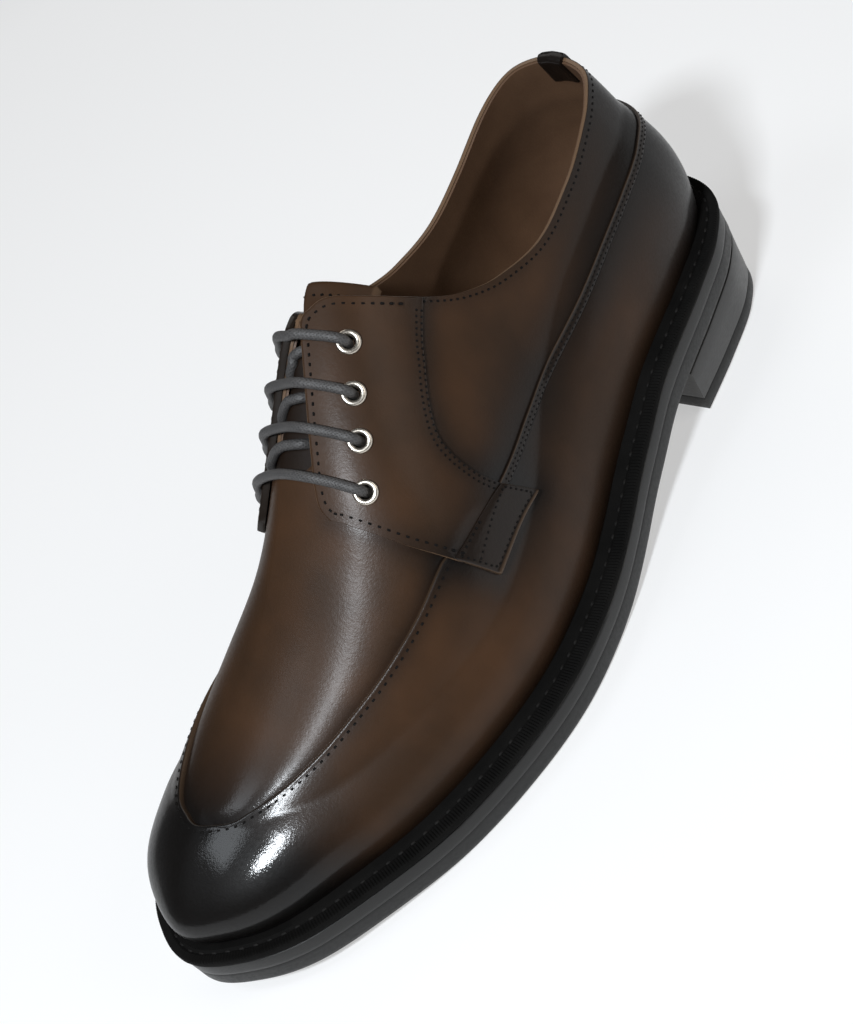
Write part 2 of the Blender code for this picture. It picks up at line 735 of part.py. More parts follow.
def make_lace():
    # bars run over the facings from eyelet to eyelet, slanted runs lie on the tongue between them
    rest = LAID + OVERLAY + 1.5 * GAP + LACE_RADIUS
    under = TONGUE_DROP - 2 * GAP - LACE_RADIUS
    for k, (t, distance) in enumerate(EYELETS):
        path = []
        edge = float(facing_front(t))
        for side in (1, -1):
            arcs = np.linspace(distance, edge, 5)
            for arc in arcs[::side]:
                # the inner eyelet lies nearer the toe, so the bar slants across the ridge
                s = t + MEDIAL_SHIFT * (0.5 - 0.5 * side * arc / distance)
                near = 2 - 2 * (distance - arc) / (3.0 * EYELET_OUTER)
                lift = rest + (EYELET_HEIGHT + GAP) * min(max(near, 0.0), 1.0)
                path.append(skin(s, side, column(s, side).at_arc(arc), lift))
            if side > 0:
                path.append(skin(t + MEDIAL_SHIFT / 2, side, 1.0, rest - BAR_SAG))
        tube(f"lace_bar_{k + 1}", path, LACE_RADIUS, cord)
    for k in range(len(EYELETS) - 1):
        last = min(EYELETS[k + 1][0] + MEDIAL_SHIFT - CROSS_CLEAR, THROAT_END - THROAT_ROUND / 2)
        ends = ((EYELETS[k][0] + CROSS_CLEAR, 1), (last, -1))
        places = []
        for t, side in ends:
            edge = column(t, side).point(column(t, side).at_arc(opening(t, side)))
            places.append((edge[0] - float(ridge_x(t)) - side * CROSS_ROOM, t))
        path = [below(t, d, under) for d, t in np.linspace(places[0], places[1], 7)]
        tube(f"lace_cross_{k + 1}", path, LACE_RADIUS, cord)


for item in list(bpy.data.objects):
    bpy.data.objects.remove(item)

shoe = bpy.data.objects.new("shoe", None)
bpy.context.scene.collection.objects.link(shoe)

leather = material("leather_dark_brown", (0.035, 0.020, 0.013), 0.32)
lining = material("lining_tan", (0.22, 0.12, 0.06), 0.6)
edge_leather = material("sole_edge_black", (0.010, 0.009, 0.009), 0.45)
heel_finish = material("heel_black", (0.013, 0.012, 0.012), 0.4)
rubber = material("rubber_black", (0.016, 0.015, 0.015), 0.6)
metal = material("eyelet_nickel", (0.62, 0.57, 0.50), 0.3, 1.0)
cord = material("lace_charcoal", (0.022, 0.020, 0.020), 0.6)

make_sole()
make_upper()
make_facing("facing_lateral", 1)
make_facing("facing_medial", -1)
make_tab("tab_lateral", 1)
make_tab("tab_medial", -1)
make_strap()
make_pull_tab()
make_tongue()
for number, (station, distance) in enumerate(EYELETS, 1):
    make_eyelet(f"eyelet_lateral_{number}", station, 1, distance)
    make_eyelet(f"eyelet_medial_{number}", station, -1, distance)
make_lace()
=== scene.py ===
# Looks of a left derby shoe with a U-shaped apron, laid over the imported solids.
# Measures are millimetres in sections of the shoe: t from the heel's back to the toe, x outwards, z up.
import math

import bpy
import numpy as np
from mathutils import Matrix, Vector

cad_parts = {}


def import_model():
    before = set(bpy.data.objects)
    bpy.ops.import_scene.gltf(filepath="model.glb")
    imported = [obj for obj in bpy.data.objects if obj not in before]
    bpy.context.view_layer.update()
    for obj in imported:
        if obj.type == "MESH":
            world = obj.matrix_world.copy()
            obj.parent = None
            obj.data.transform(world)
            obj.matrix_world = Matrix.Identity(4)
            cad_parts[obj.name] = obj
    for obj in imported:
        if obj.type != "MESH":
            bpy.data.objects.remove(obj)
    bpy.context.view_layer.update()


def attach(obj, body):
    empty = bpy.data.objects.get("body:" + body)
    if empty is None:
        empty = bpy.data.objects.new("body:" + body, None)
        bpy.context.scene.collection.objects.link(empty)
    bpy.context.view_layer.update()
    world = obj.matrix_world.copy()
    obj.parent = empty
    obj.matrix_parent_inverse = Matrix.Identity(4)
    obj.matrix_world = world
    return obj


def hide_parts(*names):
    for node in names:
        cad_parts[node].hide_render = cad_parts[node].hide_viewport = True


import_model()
bpy.ops.object.select_all(action="DESELECT")
scene = bpy.context.scene
scene.view_settings.view_transform = "Standard"

mm = 0.001
outer, inner = 1, -1   # sides of the shoe
sideWords = (("lateral", outer), ("medial", inner))

# The form that the leather is pulled over
lastForm = {
    # t, outer reach, inner reach of the line where the upper meets the welt
    "feather": [
        (8, 20.5, 19.0), (20, 27.8, 28.0), (40, 31.8, 32.0), (70, 35.0, 32.0), (105, 38.8, 30.8),
        (140, 45.8, 34.2), (175, 49.6, 41.5), (205, 45.8, 45.8), (232, 37.8, 45.0), (256, 27.2, 40.6),
        (276, 16.0, 33.2), (286, 5.2, 22.6),
    ],
    "heelBack": (0.5, 2.6),
    "toeTip": (-8.3, 292.0),
    # t, ridge x, ridge z, roundness of the outer side, of the inner side, swell, swell height
    "sections": [
        (0, 1.0, 150.0, 1.90, 1.90, 3.5, 24), (30, 1.0, 150.0, 1.60, 1.60, 3.5, 24),
        (60, 0.0, 148.0, 1.40, 1.45, 3.0, 22), (90, -4.0, 140.5, 1.32, 1.50, 3.0, 20),
        (115, -8.5, 132.5, 1.45, 1.62, 3.0, 18), (140, -9.0, 121.0, 1.70, 1.60, 3.0, 16),
        (165, -7.5, 104.0, 1.90, 1.60, 3.0, 14), (190, -6.8, 84.5, 2.00, 1.62, 3.0, 13),
        (215, -7.5, 68.8, 2.10, 1.95, 3.0, 13), (240, -8.5, 58.3, 2.20, 2.25, 3.5, 13),
        (258, -9.0, 52.0, 2.30, 2.40, 4.0, 14), (300, -9.5, 42.0, 2.30, 2.40, 4.0, 14),
    ],
    "heelFan": 36.0,      # sections fan out behind this t
    "toeFan": 258.0,      # and ahead of this one
    "stationEnd": 294.0,
}
heelFan, toeFan, stationEnd = (lastForm[name] for name in ("heelFan", "toeFan", "stationEnd"))

soleForm = {
    # t, height of the underside: heel seat, arch, tread, toe spring
    "underside": [
        (0, 23.0), (40, 20.8), (72, 18.0), (95, 11.3), (122, 4.0), (150, 0.2),
        (165, 0.0), (225, 0.0), (255, 2.3), (280, 5.0), (300, 8.0),
    ],
    "weltWidth": [(0, 6.2), (60, 7.5), (110, 8.8), (170, 9.3), (260, 8.2), (300, 6.2)],
    "edge": 16.5,         # underside to welt top
    "weltThick": 3.8,
    "midThick": 5.4,
    "gap": 0.3,
    "weltLap": 4.0,
    "insoleRise": 2.4,
    "heelBreast": 62.2,
    "heelTaper": 1.2,
    "liftThick": 5.5,
    "steps": 150,         # sections along a plate
}


def smoothTable(rows, pick=1):   # a monotone cubic through one column of a table
    x = np.array([row[0] for row in rows], float)
    y = np.array([row[pick] for row in rows], float)
    h = np.diff(x)
    slope = np.diff(y) / h
    m = np.concatenate([[slope[0]], np.zeros(len(x) - 2), [slope[-1]]])
    for i in range(1, len(x) - 1):
        if slope[i - 1] * slope[i] > 0:
            a, b = 2 * h[i] + h[i - 1], h[i] + 2 * h[i - 1]
            m[i] = (a + b) / (a / slope[i - 1] + b / slope[i])

    def value(t):
        t = np.clip(np.asarray(t, float), x[0], x[-1])
        i = np.clip(np.searchsorted(x, t, side="right") - 1, 0, len(h) - 1)
        u = (t - x[i]) / h[i]
        ends = (1 + 2 * u) * (1 - u) ** 2 * y[i] + u * u * (3 - 2 * u) * y[i + 1]
        return ends + u * (1 - u) * h[i] * ((1 - u) * m[i] - u * m[i + 1])

    return value


def spanCurve(a, b, c, d, count):   # points from b towards c on a curve that doesn't overshoot
    k1 = max(math.dist(a, b), 1e-3) ** 0.5
    k2 = k1 + max(math.dist(b, c), 1e-3) ** 0.5
    k3 = k2 + max(math.dist(c, d), 1e-3) ** 0.5
    out = []
    for k in np.linspace(k1, k2, count, endpoint=False):
        ab = a + (b - a) * k / k1
        bc = b + (c - b) * (k - k1) / (k2 - k1)
        cd = c + (d - c) * (k - k2) / (k3 - k2)
        abc = ab + (bc - ab) * k / k2
        bcd = bc + (cd - bc) * (k - k1) / (k3 - k1)
        out.append(abc + (bcd - abc) * (k - k1) / (k2 - k1))
    return out


def closedCurve(points, per):   # a loop through the points
    p = np.array(points, float)
    n = len(p)
    return np.vstack([spanCurve(p[i - 1], p[i], p[(i + 1) % n], p[(i + 2) % n], per) for i in range(n)])


def outlineOf(rows, back, tip, per=14):
    there, home = [(r[1], r[0]) for r in rows], [(-r[2], r[0]) for r in reversed(rows)]
    return closedCurve([back] + there + [tip] + home, per)


def runOf(points):   # length along a path
    return np.concatenate([[0.0], np.cumsum(np.linalg.norm(np.diff(points, axis=0), axis=1))])


def atMarks(marks, run, points):
    return np.column_stack([np.interp(marks, run, points[:, k]) for k in range(points.shape[1])])


def curveThrough(points, count):   # a smooth open curve, evenly spaced
    p = np.asarray(points, float)
    p = np.vstack([2 * p[0] - p[1], p, 2 * p[-1] - p[-2]])
    out = np.vstack([spanCurve(*p[i:i + 4], 12) for i in range(len(p) - 3)] + [[p[-2]]])
    run = runOf(out)
    return atMarks(np.linspace(0, run[-1], count), run, out)


def resample(points, pitch, closed=False):
    p = np.asarray(points, float)
    if closed:
        p = np.vstack([p, p[:1]])
    run = runOf(p)
    count = max(int(round(run[-1] / pitch)), 1)
    return atMarks(np.linspace(0, run[-1], count + 1)[: count if closed else None], run, p)


def unit(vectors):
    return vectors / np.linalg.norm(vectors, axis=-1, keepdims=True)


def loopNormals(loop):
    way = np.roll(loop, -1, axis=0) - np.roll(loop, 1, axis=0)
    return unit(np.column_stack([way[:, 1], -way[:, 0]]))


def grown(loop, width):   # the loop moved outwards
    return loop + loopNormals(loop) * (np.zeros(len(loop)) + width)[:, None]


def softStep(x):
    x = np.clip(x, 0, 1)
    return x * x * (3 - 2 * x)


underside = smoothTable(soleForm["underside"])
weltWidth = smoothTable(soleForm["weltWidth"])
ridgeX, ridgeZ, roundOuter, roundInner, swellOf, swellHeight = (
    smoothTable(lastForm["sections"], k) for k in range(1, 7)
)
featherLoop = outlineOf(lastForm["feather"], lastForm["heelBack"], lastForm["toeTip"])
weltLoop = grown(featherLoop, weltWidth(featherLoop[:, 1]))
centreX, centreT = (weltLoop.min(axis=0) + weltLoop.max(axis=0)) / 2


def world(points):   # section millimetres to metres in the shoe's frame
    p = np.asarray(points, float).reshape(-1, 3)
    return np.column_stack([p[:, 0] - centreX, centreT - p[:, 1], p[:, 2]]) * mm


# Camera, at the photograph's angle to the shoe
shot = {
    "azimuth": 63.15, "elevation": 40.52, "roll": -39.38,   # degrees
    "distance": 698.95, "aim": (-3.0, 144.73, 43.36), "lens": 78.65,
}


def placeCamera():
    az, el, roll = (math.radians(shot[k]) for k in ("azimuth", "elevation", "roll"))
    back = Vector((math.sin(az) * math.cos(el), -math.cos(az) * math.cos(el), math.sin(el)))
    right = (-back).cross(Vector((0, 0, 1))).normalized()
    up = right.cross(-back)
    across = right * math.cos(roll) + up * math.sin(roll)
    upward = up * math.cos(roll) - right * math.sin(roll)
    spot = Vector(world(shot["aim"])[0]) + back * shot["distance"] * mm
    bpy.ops.object.camera_add()
    camera = bpy.context.object
    camera.name = "camera"
    turn = Matrix((across, upward, back)).transposed().to_4x4()
    camera.matrix_world = Matrix.Translation(spot) @ turn
    camera.data.lens = shot["lens"]
    camera.data.sensor_width = 36.0
    camera.data.clip_start = 0.01
    camera.data.dof.use_dof = False
    scene.camera = camera


placeCamera()
print("camera set")


# Columns of the last, from the feather line (u = 0) to the ridge (u = 1)
columnStore = {}
denseU = 1 - (1 - np.linspace(0, 1, 500)) ** 2.5   # closer together at the ridge


def reachTo(loop, start, way):
    edge = np.roll(loop, -1, axis=0) - loop
    rel = loop - start
    cross = way[0] * edge[:, 1] - way[1] * edge[:, 0]
    cross = np.where(np.abs(cross) < 1e-9, 1e-9, cross)
    far = (rel[:, 0] * edge[:, 1] - rel[:, 1] * edge[:, 0]) / cross
    along = (rel[:, 0] * way[1] - rel[:, 1] * way[0]) / cross
    return far[(far > 0) & (along >= -1e-9) & (along <= 1 + 1e-9)].min()


def columnAt(station, side):
    if station < 0:
        station, side = -station, -side
    if station > stationEnd:
        station, side = 2 * stationEnd - station, -side
    key = (round(station, 4), side)
    if key in columnStore:
        return columnStore[key]
    middle = min(max(station, heelFan), toeFan)
    pole, out = np.array([float(ridgeX(middle)), middle]), np.array([float(side), 0.0])
    if station < heelFan:
        turn = station / heelFan * math.pi / 2
        out = np.array([side * math.sin(turn), -math.cos(turn)])
    elif station > toeFan:
        turn = (stationEnd - station) / (stationEnd - toeFan) * math.pi / 2
        out = np.array([side * math.sin(turn), math.cos(turn)])
    reach = reachTo(featherLoop, pole, out)
    base = pole + out * reach
    share = (1 + out[0]) / 2
    here = {
        "pole": pole, "out": out, "reach": reach, "base": base,
        "bend": float(roundOuter(base[1]) * share + roundInner(base[1]) * (1 - share)),
        "swell": float(swellOf(base[1])), "swellHeight": float(swellHeight(base[1])),
        "foot": float(underside(base[1])) + soleForm["edge"],
    }
    columnStore[key] = here
    points = onColumn(here, denseU)
    here["arc"] = runOf(points)
    here["z"] = points[:, 2]
    return here


def onColumn(here, u):
    bend, base, out = here["bend"], here["base"], here["out"]
    inward = here["reach"] * (1 - (1 - np.asarray(u, float) ** bend) ** (1 / bend))
    height = (ridgeZ(base[1] - out[1] * inward) - here["foot"]) * u
    inward = inward - here["swell"] * np.sin(np.pi * np.clip(height / (2 * here["swellHeight"]), 0, 1))
    return np.stack([base[0] - out[0] * inward, base[1] - out[1] * inward, here["foot"] + height], -1)


def arcAtHeight(here, z):
    return np.interp(z, here["z"], here["arc"])


def uAtArc(here, arc):
    return np.interp(arc, here["arc"], denseU)


def uAtReach(here, distance):   # where the column is this far from the ridge in plan
    share = min(max(distance, 0.0) / here["reach"], 1.0)
    return (1 - share ** here["bend"]) ** (1 / here["bend"])


def normals(station, side, u):
    here = columnAt(station, side)
    up = onColumn(here, np.minimum(u + 0.004, 1.0)) - onColumn(here, np.maximum(u - 0.004, 0.0))
    along = onColumn(columnAt(station + 1, side), u) - onColumn(columnAt(station - 1, side), u)
    out = np.cross(-side * up, along)
    top = u > 0.995
    if top.any():   # both sides meet on the ridge
        t = min(station, toeFan)
        nearTip = t > toeFan - 3
        aheadT, aheadU = (stationEnd, 0.97) if nearTip else (t + 3, 1.0)
        ahead = onColumn(columnAt(aheadT, outer), np.array([aheadU]))
        behind = onColumn(columnAt(t - 3, outer), np.array([1.0]))
        near, far = (onColumn(columnAt(t, way), np.array([0.985])) for way in (outer, inner))
        out[top] = np.cross(near - far, ahead - behind)
    return unit(out)


def skin(station, side, arc, lift=0.0):   # points of the leather's outer face, moved out by lift
    here = columnAt(station, side)
    u = uAtArc(here, np.atleast_1d(np.asarray(arc, float)))
    return onColumn(here, u) + normals(station, side, u) * (np.zeros(len(u)) + lift)[:, None]


def skinWay(places, lift):   # points and normals of a path of (station, side, arc)
    low = np.array([skin(s, side, arc, lift)[0] for s, side, arc in places])
    high = np.array([skin(s, side, arc, lift + 1)[0] for s, side, arc in places])
    return low, high - low


def stationRun(marks, counts):   # stations through the marks, so many to a stretch
    parts = [np.linspace(a, b, n)[1:] for a, b, n in zip(marks, marks[1:], counts)]
    return np.concatenate([[marks[0]]] + parts)


def roundHeel(stations):   # from the inner side round the heel to the outer side
    return [(s, inner) for s in stations[::-1]] + [(s, outer) for s in stations[1:]]


# Edges on the upper
upperForm = {
    "topline": [
        (0, 107.5), (12, 106.0), (30, 100.0), (50, 93.5), (70, 90.3), (88, 93.5), (100, 99.5),
        (110, 108.5), (118, 117.0), (126, 125.0),
    ],
    # t, outer reach, inner reach of the apron's seam
    "apron": [
        (160, 38.0, 33.4), (172, 37.5, 36.0), (188, 35.8, 38.6), (204, 32.2, 38.4), (220, 27.0, 35.8),
        (234, 21.6, 32.2), (246, 15.6, 27.8), (256, 8.8, 23.2), (262, 2.9, 18.2),
    ],
    "apronTip": (-8.3, 265.4),
    "apronStep": 0.9, "apronFade": 8.0,   # the apron lies this much lower, after a short fade
    "apronRoll": (0.8, 4.5),              # and rolls down into the seam: share of the step, run
    "apronCut": 0.3,                      # how much of the seam's cut edge shows
    # distance below the seam, share of the step, cut edge
    "seamEdge": [
        (1.0, -0.06, 0), (0.65, -0.05, 0), (0.38, 0.02, 0),
        (0.18, 0.12, 0.15), (0.04, 0.30, 0.8), (0.0, 0.5, 1),
    ],
    # distance above the seam, cut edge
    "apronEdge": [(0.03, 0.6), (0.22, 0), (0.6, 0), (1.2, 0), (2.2, 0), (3.6, 0), (5.2, 0)],
    # share of the last step to the rim, drop, cut edge
    "rimEdge": [(0.90, 0.03, 0), (0.97, 0.15, 0.2), (1.0, 0.42, 1)],
    "openFrom": 100.0, "collarEnd": 132.0,
    "throatEnd": 172.0, "throatRound": 9.0,
    "throatBack": 0.7,                    # the opening hides just behind the facings' edges
    # where the inner side takes up its shift, its front pattern, and where it gives the shift up: t, run
    "shiftFrom": (85.0, 25.0), "patternFrom": (103.0, 9.0), "shiftTo": (158.0, 10.0),
    "leather": 1.4, "wall": 2.2,          # outer leather; the lining makes up the wall
    "wallRows": 34, "apronRows": 24, "innerRows": 18,
}
strapForm = {
    "line": [
        (0, 80.0), (10, 79.8), (20, 79.0), (28, 77.6), (42, 75.0), (70, 69.5), (96, 64.8),
        (116, 62.4), (131, 61.9), (142, 62.0),
    ],
    "width": 3.6, "rows": (0.9, 2.1), "pitch": 1.9, "lip": 0.75, "stitchLift": 0.56, "thread": 0.32,
    # distance down from the top edge and lift: a fine raised lip, then the flat with its stitching
    "profile": [
        (0.0, 0.0), (0.05, 0.55), (0.22, 0.85), (0.5, 0.88), (0.75, 0.68), (1.0, 0.55), (1.7, 0.58),
        (2.5, 0.58), (3.1, 0.5), (3.5, 0.25), (3.6, -0.1),
    ],
}
medialShift = 4.0     # the inner facing sits this much nearer the toe
overlaySink = -0.3    # overlays start just inside the upper's face
facingForm = {
    # t, z down the double seam, from collar to tab
    "seam": [
        (110, 108.4), (115.5, 105.4), (121.5, 102.2), (128, 98.2), (134, 94.5), (140, 89.5), (143.5, 85.0),
        (145, 79.5), (145, 73.5), (144, 67.6), (141.8, 62.0),
    ],
    # t, z up the free front edge, from tab to corner
    "lower": [(168.0, 61.5), (170.6, 68.0), (173.5, 74.8), (176, 82.9), (177.6, 87.9)],
    # t, distance from the ridge along the leather, down the opening
    "front": [
        (131, 4.2), (132.8, 3.0), (134.8, 2.8), (138, 3.8), (144, 6.1), (152, 8.6), (159.5, 10.6),
        (166.5, 12.8), (172.5, 14.7), (176.4, 16.8),
    ],
    "collar": (110, 113, 116, 119, 122, 125, 128), "corner": (178.1, 20.4),
    "lowShares": (0.45, 0.72), "highShares": (0.14, 0.45), "highTurn": 160.0, "seamTurn": 22.0,
    "lift": 2.0, "skived": 1.1, "skiveRun": 20.0, "seamOut": 1.25, "underTab": 1.4,
    "roundRun": 0.7, "roundDrop": 0.42,
    "stitchInset": 2.4, "pitch": 2.9, "seamRows": (0.45, 2.1), "seamPitch": 1.9,
}
tabForm = {
    # t, z: back low, front low, front high, back high
    "corners": ((133.5, 50.8), (163.3, 50.0), (169.0, 64.2), (140.8, 63.4)),
    "size": (29.0, 14.5), "lift": 2.0, "rim": 0.3, "tuck": 0.2, "pitch": 2.0,
    "roundRun": 0.6, "roundDrop": 0.45,
    # rows of stitches as shares along and up the tab
    "rows": {
        "Rim": [(0.05, 0.93), (0.05, 0.14), (0.95, 0.14), (0.95, 0.97)],
        "Middle": [(0.05, 0.90), (0.95, 0.54)],
        "Upper": [(0.50, 0.95), (0.95, 0.92)],
    },
}
eyeletForm = {
    # t, distance from the ridge along the leather
    "places": [(134.5, 18.1), (146.2, 23.2), (156.5, 27.0), (167.5, 30.8)],
    "ringRadius": 2.95, "ringThick": 0.88, "ringFlat": 0.8, "ringRise": 0.3,
    "hole": 2.1, "depth": 4.0, "barrel": 0.25, "cutRoom": 0.35, "cutDepth": 9.0,
}
tongueForm = {
    "halfWidth": [(112, 17.0), (130, 19.0), (150, 20.0), (168, 18.0), (178, 14.0)],
    # t, depth under the leather's face
    "drop": [(112, 4.0), (140, 4.0), (150, 3.7), (160, 2.8), (167, 1.9), (172, 1.25), (178, 1.25)],
    "top": 122.0, "slant": 0.55, "last": 173.0, "lean": 3.5, "leanRun": (136.0, 12.0),
    "thick": 1.8, "steepest": 2.0, "stitchInset": 4.2, "stitchPitch": 2.4,
}
laceForm = {
    "radius": 1.6, "sides": 14, "step": 0.8,
    "rest": 3.5, "overRing": 4.2, "inside": -3.6,   # lifts over the leather's face
    "sag": (1.7, 3.1, 3.9, 3.0), "lead": 1.2,
    # how far a lower run has gone at both edges and under the facing
    "slant": (0.20, 0.50, 0.56),
}

topline, strapLine = smoothTable(upperForm["topline"]), smoothTable(strapForm["line"])
frontLine, tongueDrop = smoothTable(facingForm["front"]), smoothTable(tongueForm["drop"])
tongueHalf = smoothTable(tongueForm["halfWidth"])
apronStart, strapEnd, throatEnd = upperForm["apron"][0][0], strapForm["line"][-1][0], upperForm["throatEnd"]
apronLoop = outlineOf(upperForm["apron"], (0.0, apronStart - 30.0), upperForm["apronTip"], 24)


def shiftOf(side):
    return medialShift if side == inner else 0.0


def openReach(t, side):   # distance from the ridge to the opening's edge
    start, run = upperForm["shiftTo"]
    along = t - shiftOf(side) * (1 - softStep((t - start) / run))
    left = (throatEnd - t) / upperForm["throatRound"]
    edge = float(frontLine(along)) + upperForm["throatBack"]
    return 0.0 if left <= 0 else edge * (1.0 if left >= 1 else math.sqrt(1 - (1 - left) ** 2))


def ridgeDistance(t, side, z):
    here = columnAt(t, side)
    return here["arc"][-1] - float(arcAtHeight(here, z))


def collarDistance(t, side):   # from the ridge to the collar; the inner front is cut as the outer one is
    start, run = upperForm["shiftFrom"]
    base = t - shiftOf(side) * float(softStep((t - start) / run))
    level = float(topline(base))
    start, run = upperForm["patternFrom"]
    share = float(softStep((base - start) / run)) if side == inner else 0.0
    return ridgeDistance(t, side, level) * (1 - share) + ridgeDistance(base, outer, level) * share


def rimArc(station, side):   # collar, then throat, then ridge
    ridge = columnAt(station, side)["arc"][-1]
    edge = ridge - (openReach(station, side) if station > upperForm["openFrom"] else 0.0)
    if station > upperForm["collarEnd"] + shiftOf(side):
        return edge
    return min(edge, ridge - collarDistance(station, side))


def apronArc(station, side):
    first = apronStart + 2
    if station < first:
        return rimArc(station, side) * apronArc(first, side) / rimArc(first, side)
    here = columnAt(station, side)
    u = uAtReach(here, reachTo(apronLoop, here["pole"], here["out"]))
    return float(np.interp(u, denseU, here["arc"]))


def apronDepth(station):
    return upperForm["apronStep"] * float(softStep((station - apronStart) / upperForm["apronFade"]))


def strapArc(s, side):
    return float(arcAtHeight(columnAt(s, side), float(strapLine(s))))


# The skin round the lacing as a map over t and distance from the ridge
mapForm = {"from": 100.0, "to": 192.0, "step": 0.5, "reach": 118.0}


def skinMap(side):
    t = np.arange(mapForm["from"], mapForm["to"], mapForm["step"])
    d = np.arange(0.0, mapForm["reach"], mapForm["step"])
    faces = np.empty((2, len(t), len(d), 3))
    for i, station in enumerate(t):
        arcs = columnAt(station, side)["arc"][-1] - d
        for k in (0, 1):
            faces[k, i] = skin(station, side, arcs, float(k))

    def at(places, lift):
        places = np.asarray(places, float).reshape(-1, 2)
        a = np.clip((places[:, 0] - t[0]) / mapForm["step"], 0, len(t) - 1.001)
        b = np.clip(places[:, 1] / mapForm["step"], 0, len(d) - 1.001)
        i, k = a.astype(int), b.astype(int)
        u, v = (a - i)[:, None], (b - k)[:, None]
        near, far = (faces[:, j, k] * (1 - v) + faces[:, j, k + 1] * v for j in (i, i + 1))
        low, high = near * (1 - u) + far * u
        return low + (high - low) * (np.zeros(len(places)) + lift)[:, None]

    return at


maps = {side: skinMap(side) for side in (outer, inner)}


def mapWay(side, places, lift):   # points and normals of a path on the map
    low = maps[side](places, lift)
    return low, maps[side](places, lift + 1.0) - low


def facingCurves(side):   # lower and upper edge of a facing as functions of a share from collar to corner
    shift = shiftOf(side)
    seam = []
    for t, z in facingForm["seam"]:   # the outer side's distance at the collar, the same height at the tab
        share = float(softStep((facingForm["seam"][0][1] - z) / facingForm["seamTurn"]))
        down = ridgeDistance(t + shift, side, z) * share + ridgeDistance(t, outer, z) * (1 - share)
        seam.append((t + shift, down))
    corner = (facingForm["corner"][0] + shift, facingForm["corner"][1])
    (first, level), end = facingForm["lower"][0], corner[1]
    squeeze = (ridgeDistance(first + shift, side, level) - end) / (ridgeDistance(first, outer, level) - end)
    lower = [(t + shift, end + (ridgeDistance(t, outer, z) - end) * squeeze) for t, z in facingForm["lower"]]
    front = [(t + shift, d) for t, d in facingForm["front"]]
    collar = [(t + shift, collarDistance(t + shift, side)) for t in facingForm["collar"]]
    seam = curveThrough(seam, 200)
    way = unit(np.gradient(seam, axis=0))
    aside = np.column_stack([way[:, 1], -way[:, 0]])
    seam = seam - aside * facingForm["seamOut"]   # the leather's edge lies behind its two rows
    lowParts = [seam, np.linspace(seam[-1], lower[0], 120), curveThrough(lower + [corner], 120)]
    opening = curveThrough([collar[-1]] + front + [corner], 300)[20:]
    opening[0] = front[0]
    turn = int(np.searchsorted(opening[:, 0], facingForm["highTurn"] + shift))
    highParts = [curveThrough(collar + front[:1], 120), opening[:turn + 1], opening[turn:]]

    def joined(parts, between):
        marks = (0.0, *between, 1.0)
        ends = zip(parts, marks, marks[1:])
        shares = np.concatenate([np.linspace(a, b, len(part)) for part, a, b in ends])
        points = np.vstack(parts)
        return lambda v: atMarks(v, shares, points)

    return joined(lowParts, facingForm["lowShares"]), joined(highParts, facingForm["highShares"])


facingEdges = {side: facingCurves(side) for side in (outer, inner)}


def tabPlaces(shares, side):
    shift = shiftOf(side)
    corners = [(t + shift, ridgeDistance(t + shift, side, z)) for t, z in tabForm["corners"]]
    c0, c1, c2, c3 = (np.array(c) for c in corners)
    a, b = (np.asarray(shares, float)[:, k:k + 1] for k in (0, 1))
    return (c0 * (1 - a) + c1 * a) * (1 - b) + (c3 * (1 - a) + c2 * a) * b


# Pieces
def addPiece(name, points, faces, finish, replaced=(), marks=None, sharp=38):
    mesh = bpy.data.meshes.new(name)
    mesh.from_pydata(world(points).tolist(), [], faces)
    for mark, values in (marks or {}).items():
        layer = mesh.attributes.new(mark, "FLOAT", "POINT")
        layer.data.foreach_set("value", np.asarray(values, np.float32))
    mesh.materials.append(finish)
    piece = bpy.data.objects.new(name, mesh)
    scene.collection.objects.link(piece)
    return finishPiece(piece, replaced, sharp)


def pick(piece):   # make it the active piece and the only selected one
    bpy.ops.object.select_all(action="DESELECT")
    piece.select_set(True)
    bpy.context.view_layer.objects.active = piece


def finishPiece(piece, replaced=(), sharp=38):
    pick(piece)
    bpy.ops.object.mode_set(mode="EDIT")
    bpy.ops.mesh.select_all(action="SELECT")
    bpy.ops.mesh.remove_doubles(threshold=2e-6)
    bpy.ops.mesh.normals_make_consistent(inside=False)
    bpy.ops.object.mode_set(mode="OBJECT")
    bpy.ops.object.shade_smooth_by_angle(angle=math.radians(sharp))
    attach(piece, "root")
    if replaced:
        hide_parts(*replaced)
    piece.select_set(False)
    return piece


def gridFaces(rows, cols, first=0, wrapRows=False, wrapCols=False):
    faces = []
    for i in range(rows if wrapRows else rows - 1):
        a, b = first + i * cols, first + (i + 1) % rows * cols
        for k in range(cols if wrapCols else cols - 1):
            n = (k + 1) % cols
            faces.append((a + k, b + k, b + n, a + n))
    return faces


def tubeFaces(rows, cols):   # rings of points joined up, with both ends closed
    ends = [tuple(range(first, first + cols)) for first in (0, (rows - 1) * cols)]
    return gridFaces(rows, cols, 0, False, True) + ends


def sheetPiece(name, top, bottom, finish, replaced=(), marks=None, sharp=38):
    # a thin piece between two grids of points
    rows, cols = top.shape[:2]
    shift = rows * cols
    faces = gridFaces(rows, cols) + gridFaces(rows, cols, shift)
    border = list(range(cols)) + [i * cols + cols - 1 for i in range(1, rows)]
    border += [(rows - 1) * cols + k for k in range(cols - 2, -1, -1)]
    border += [i * cols for i in range(rows - 2, 0, -1)]
    faces += [(a, b, shift + b, shift + a) for a, b in zip(border, border[1:] + border[:1])]
    points = np.vstack([top.reshape(-1, 3), bottom.reshape(-1, 3)])
    return addPiece(name, points, faces, finish, replaced, marks, sharp)


def bothFaces(top, bottom=None):   # a mark for the two faces of a sheet
    return np.concatenate([np.ravel(top), np.ravel(top if bottom is None else bottom)])


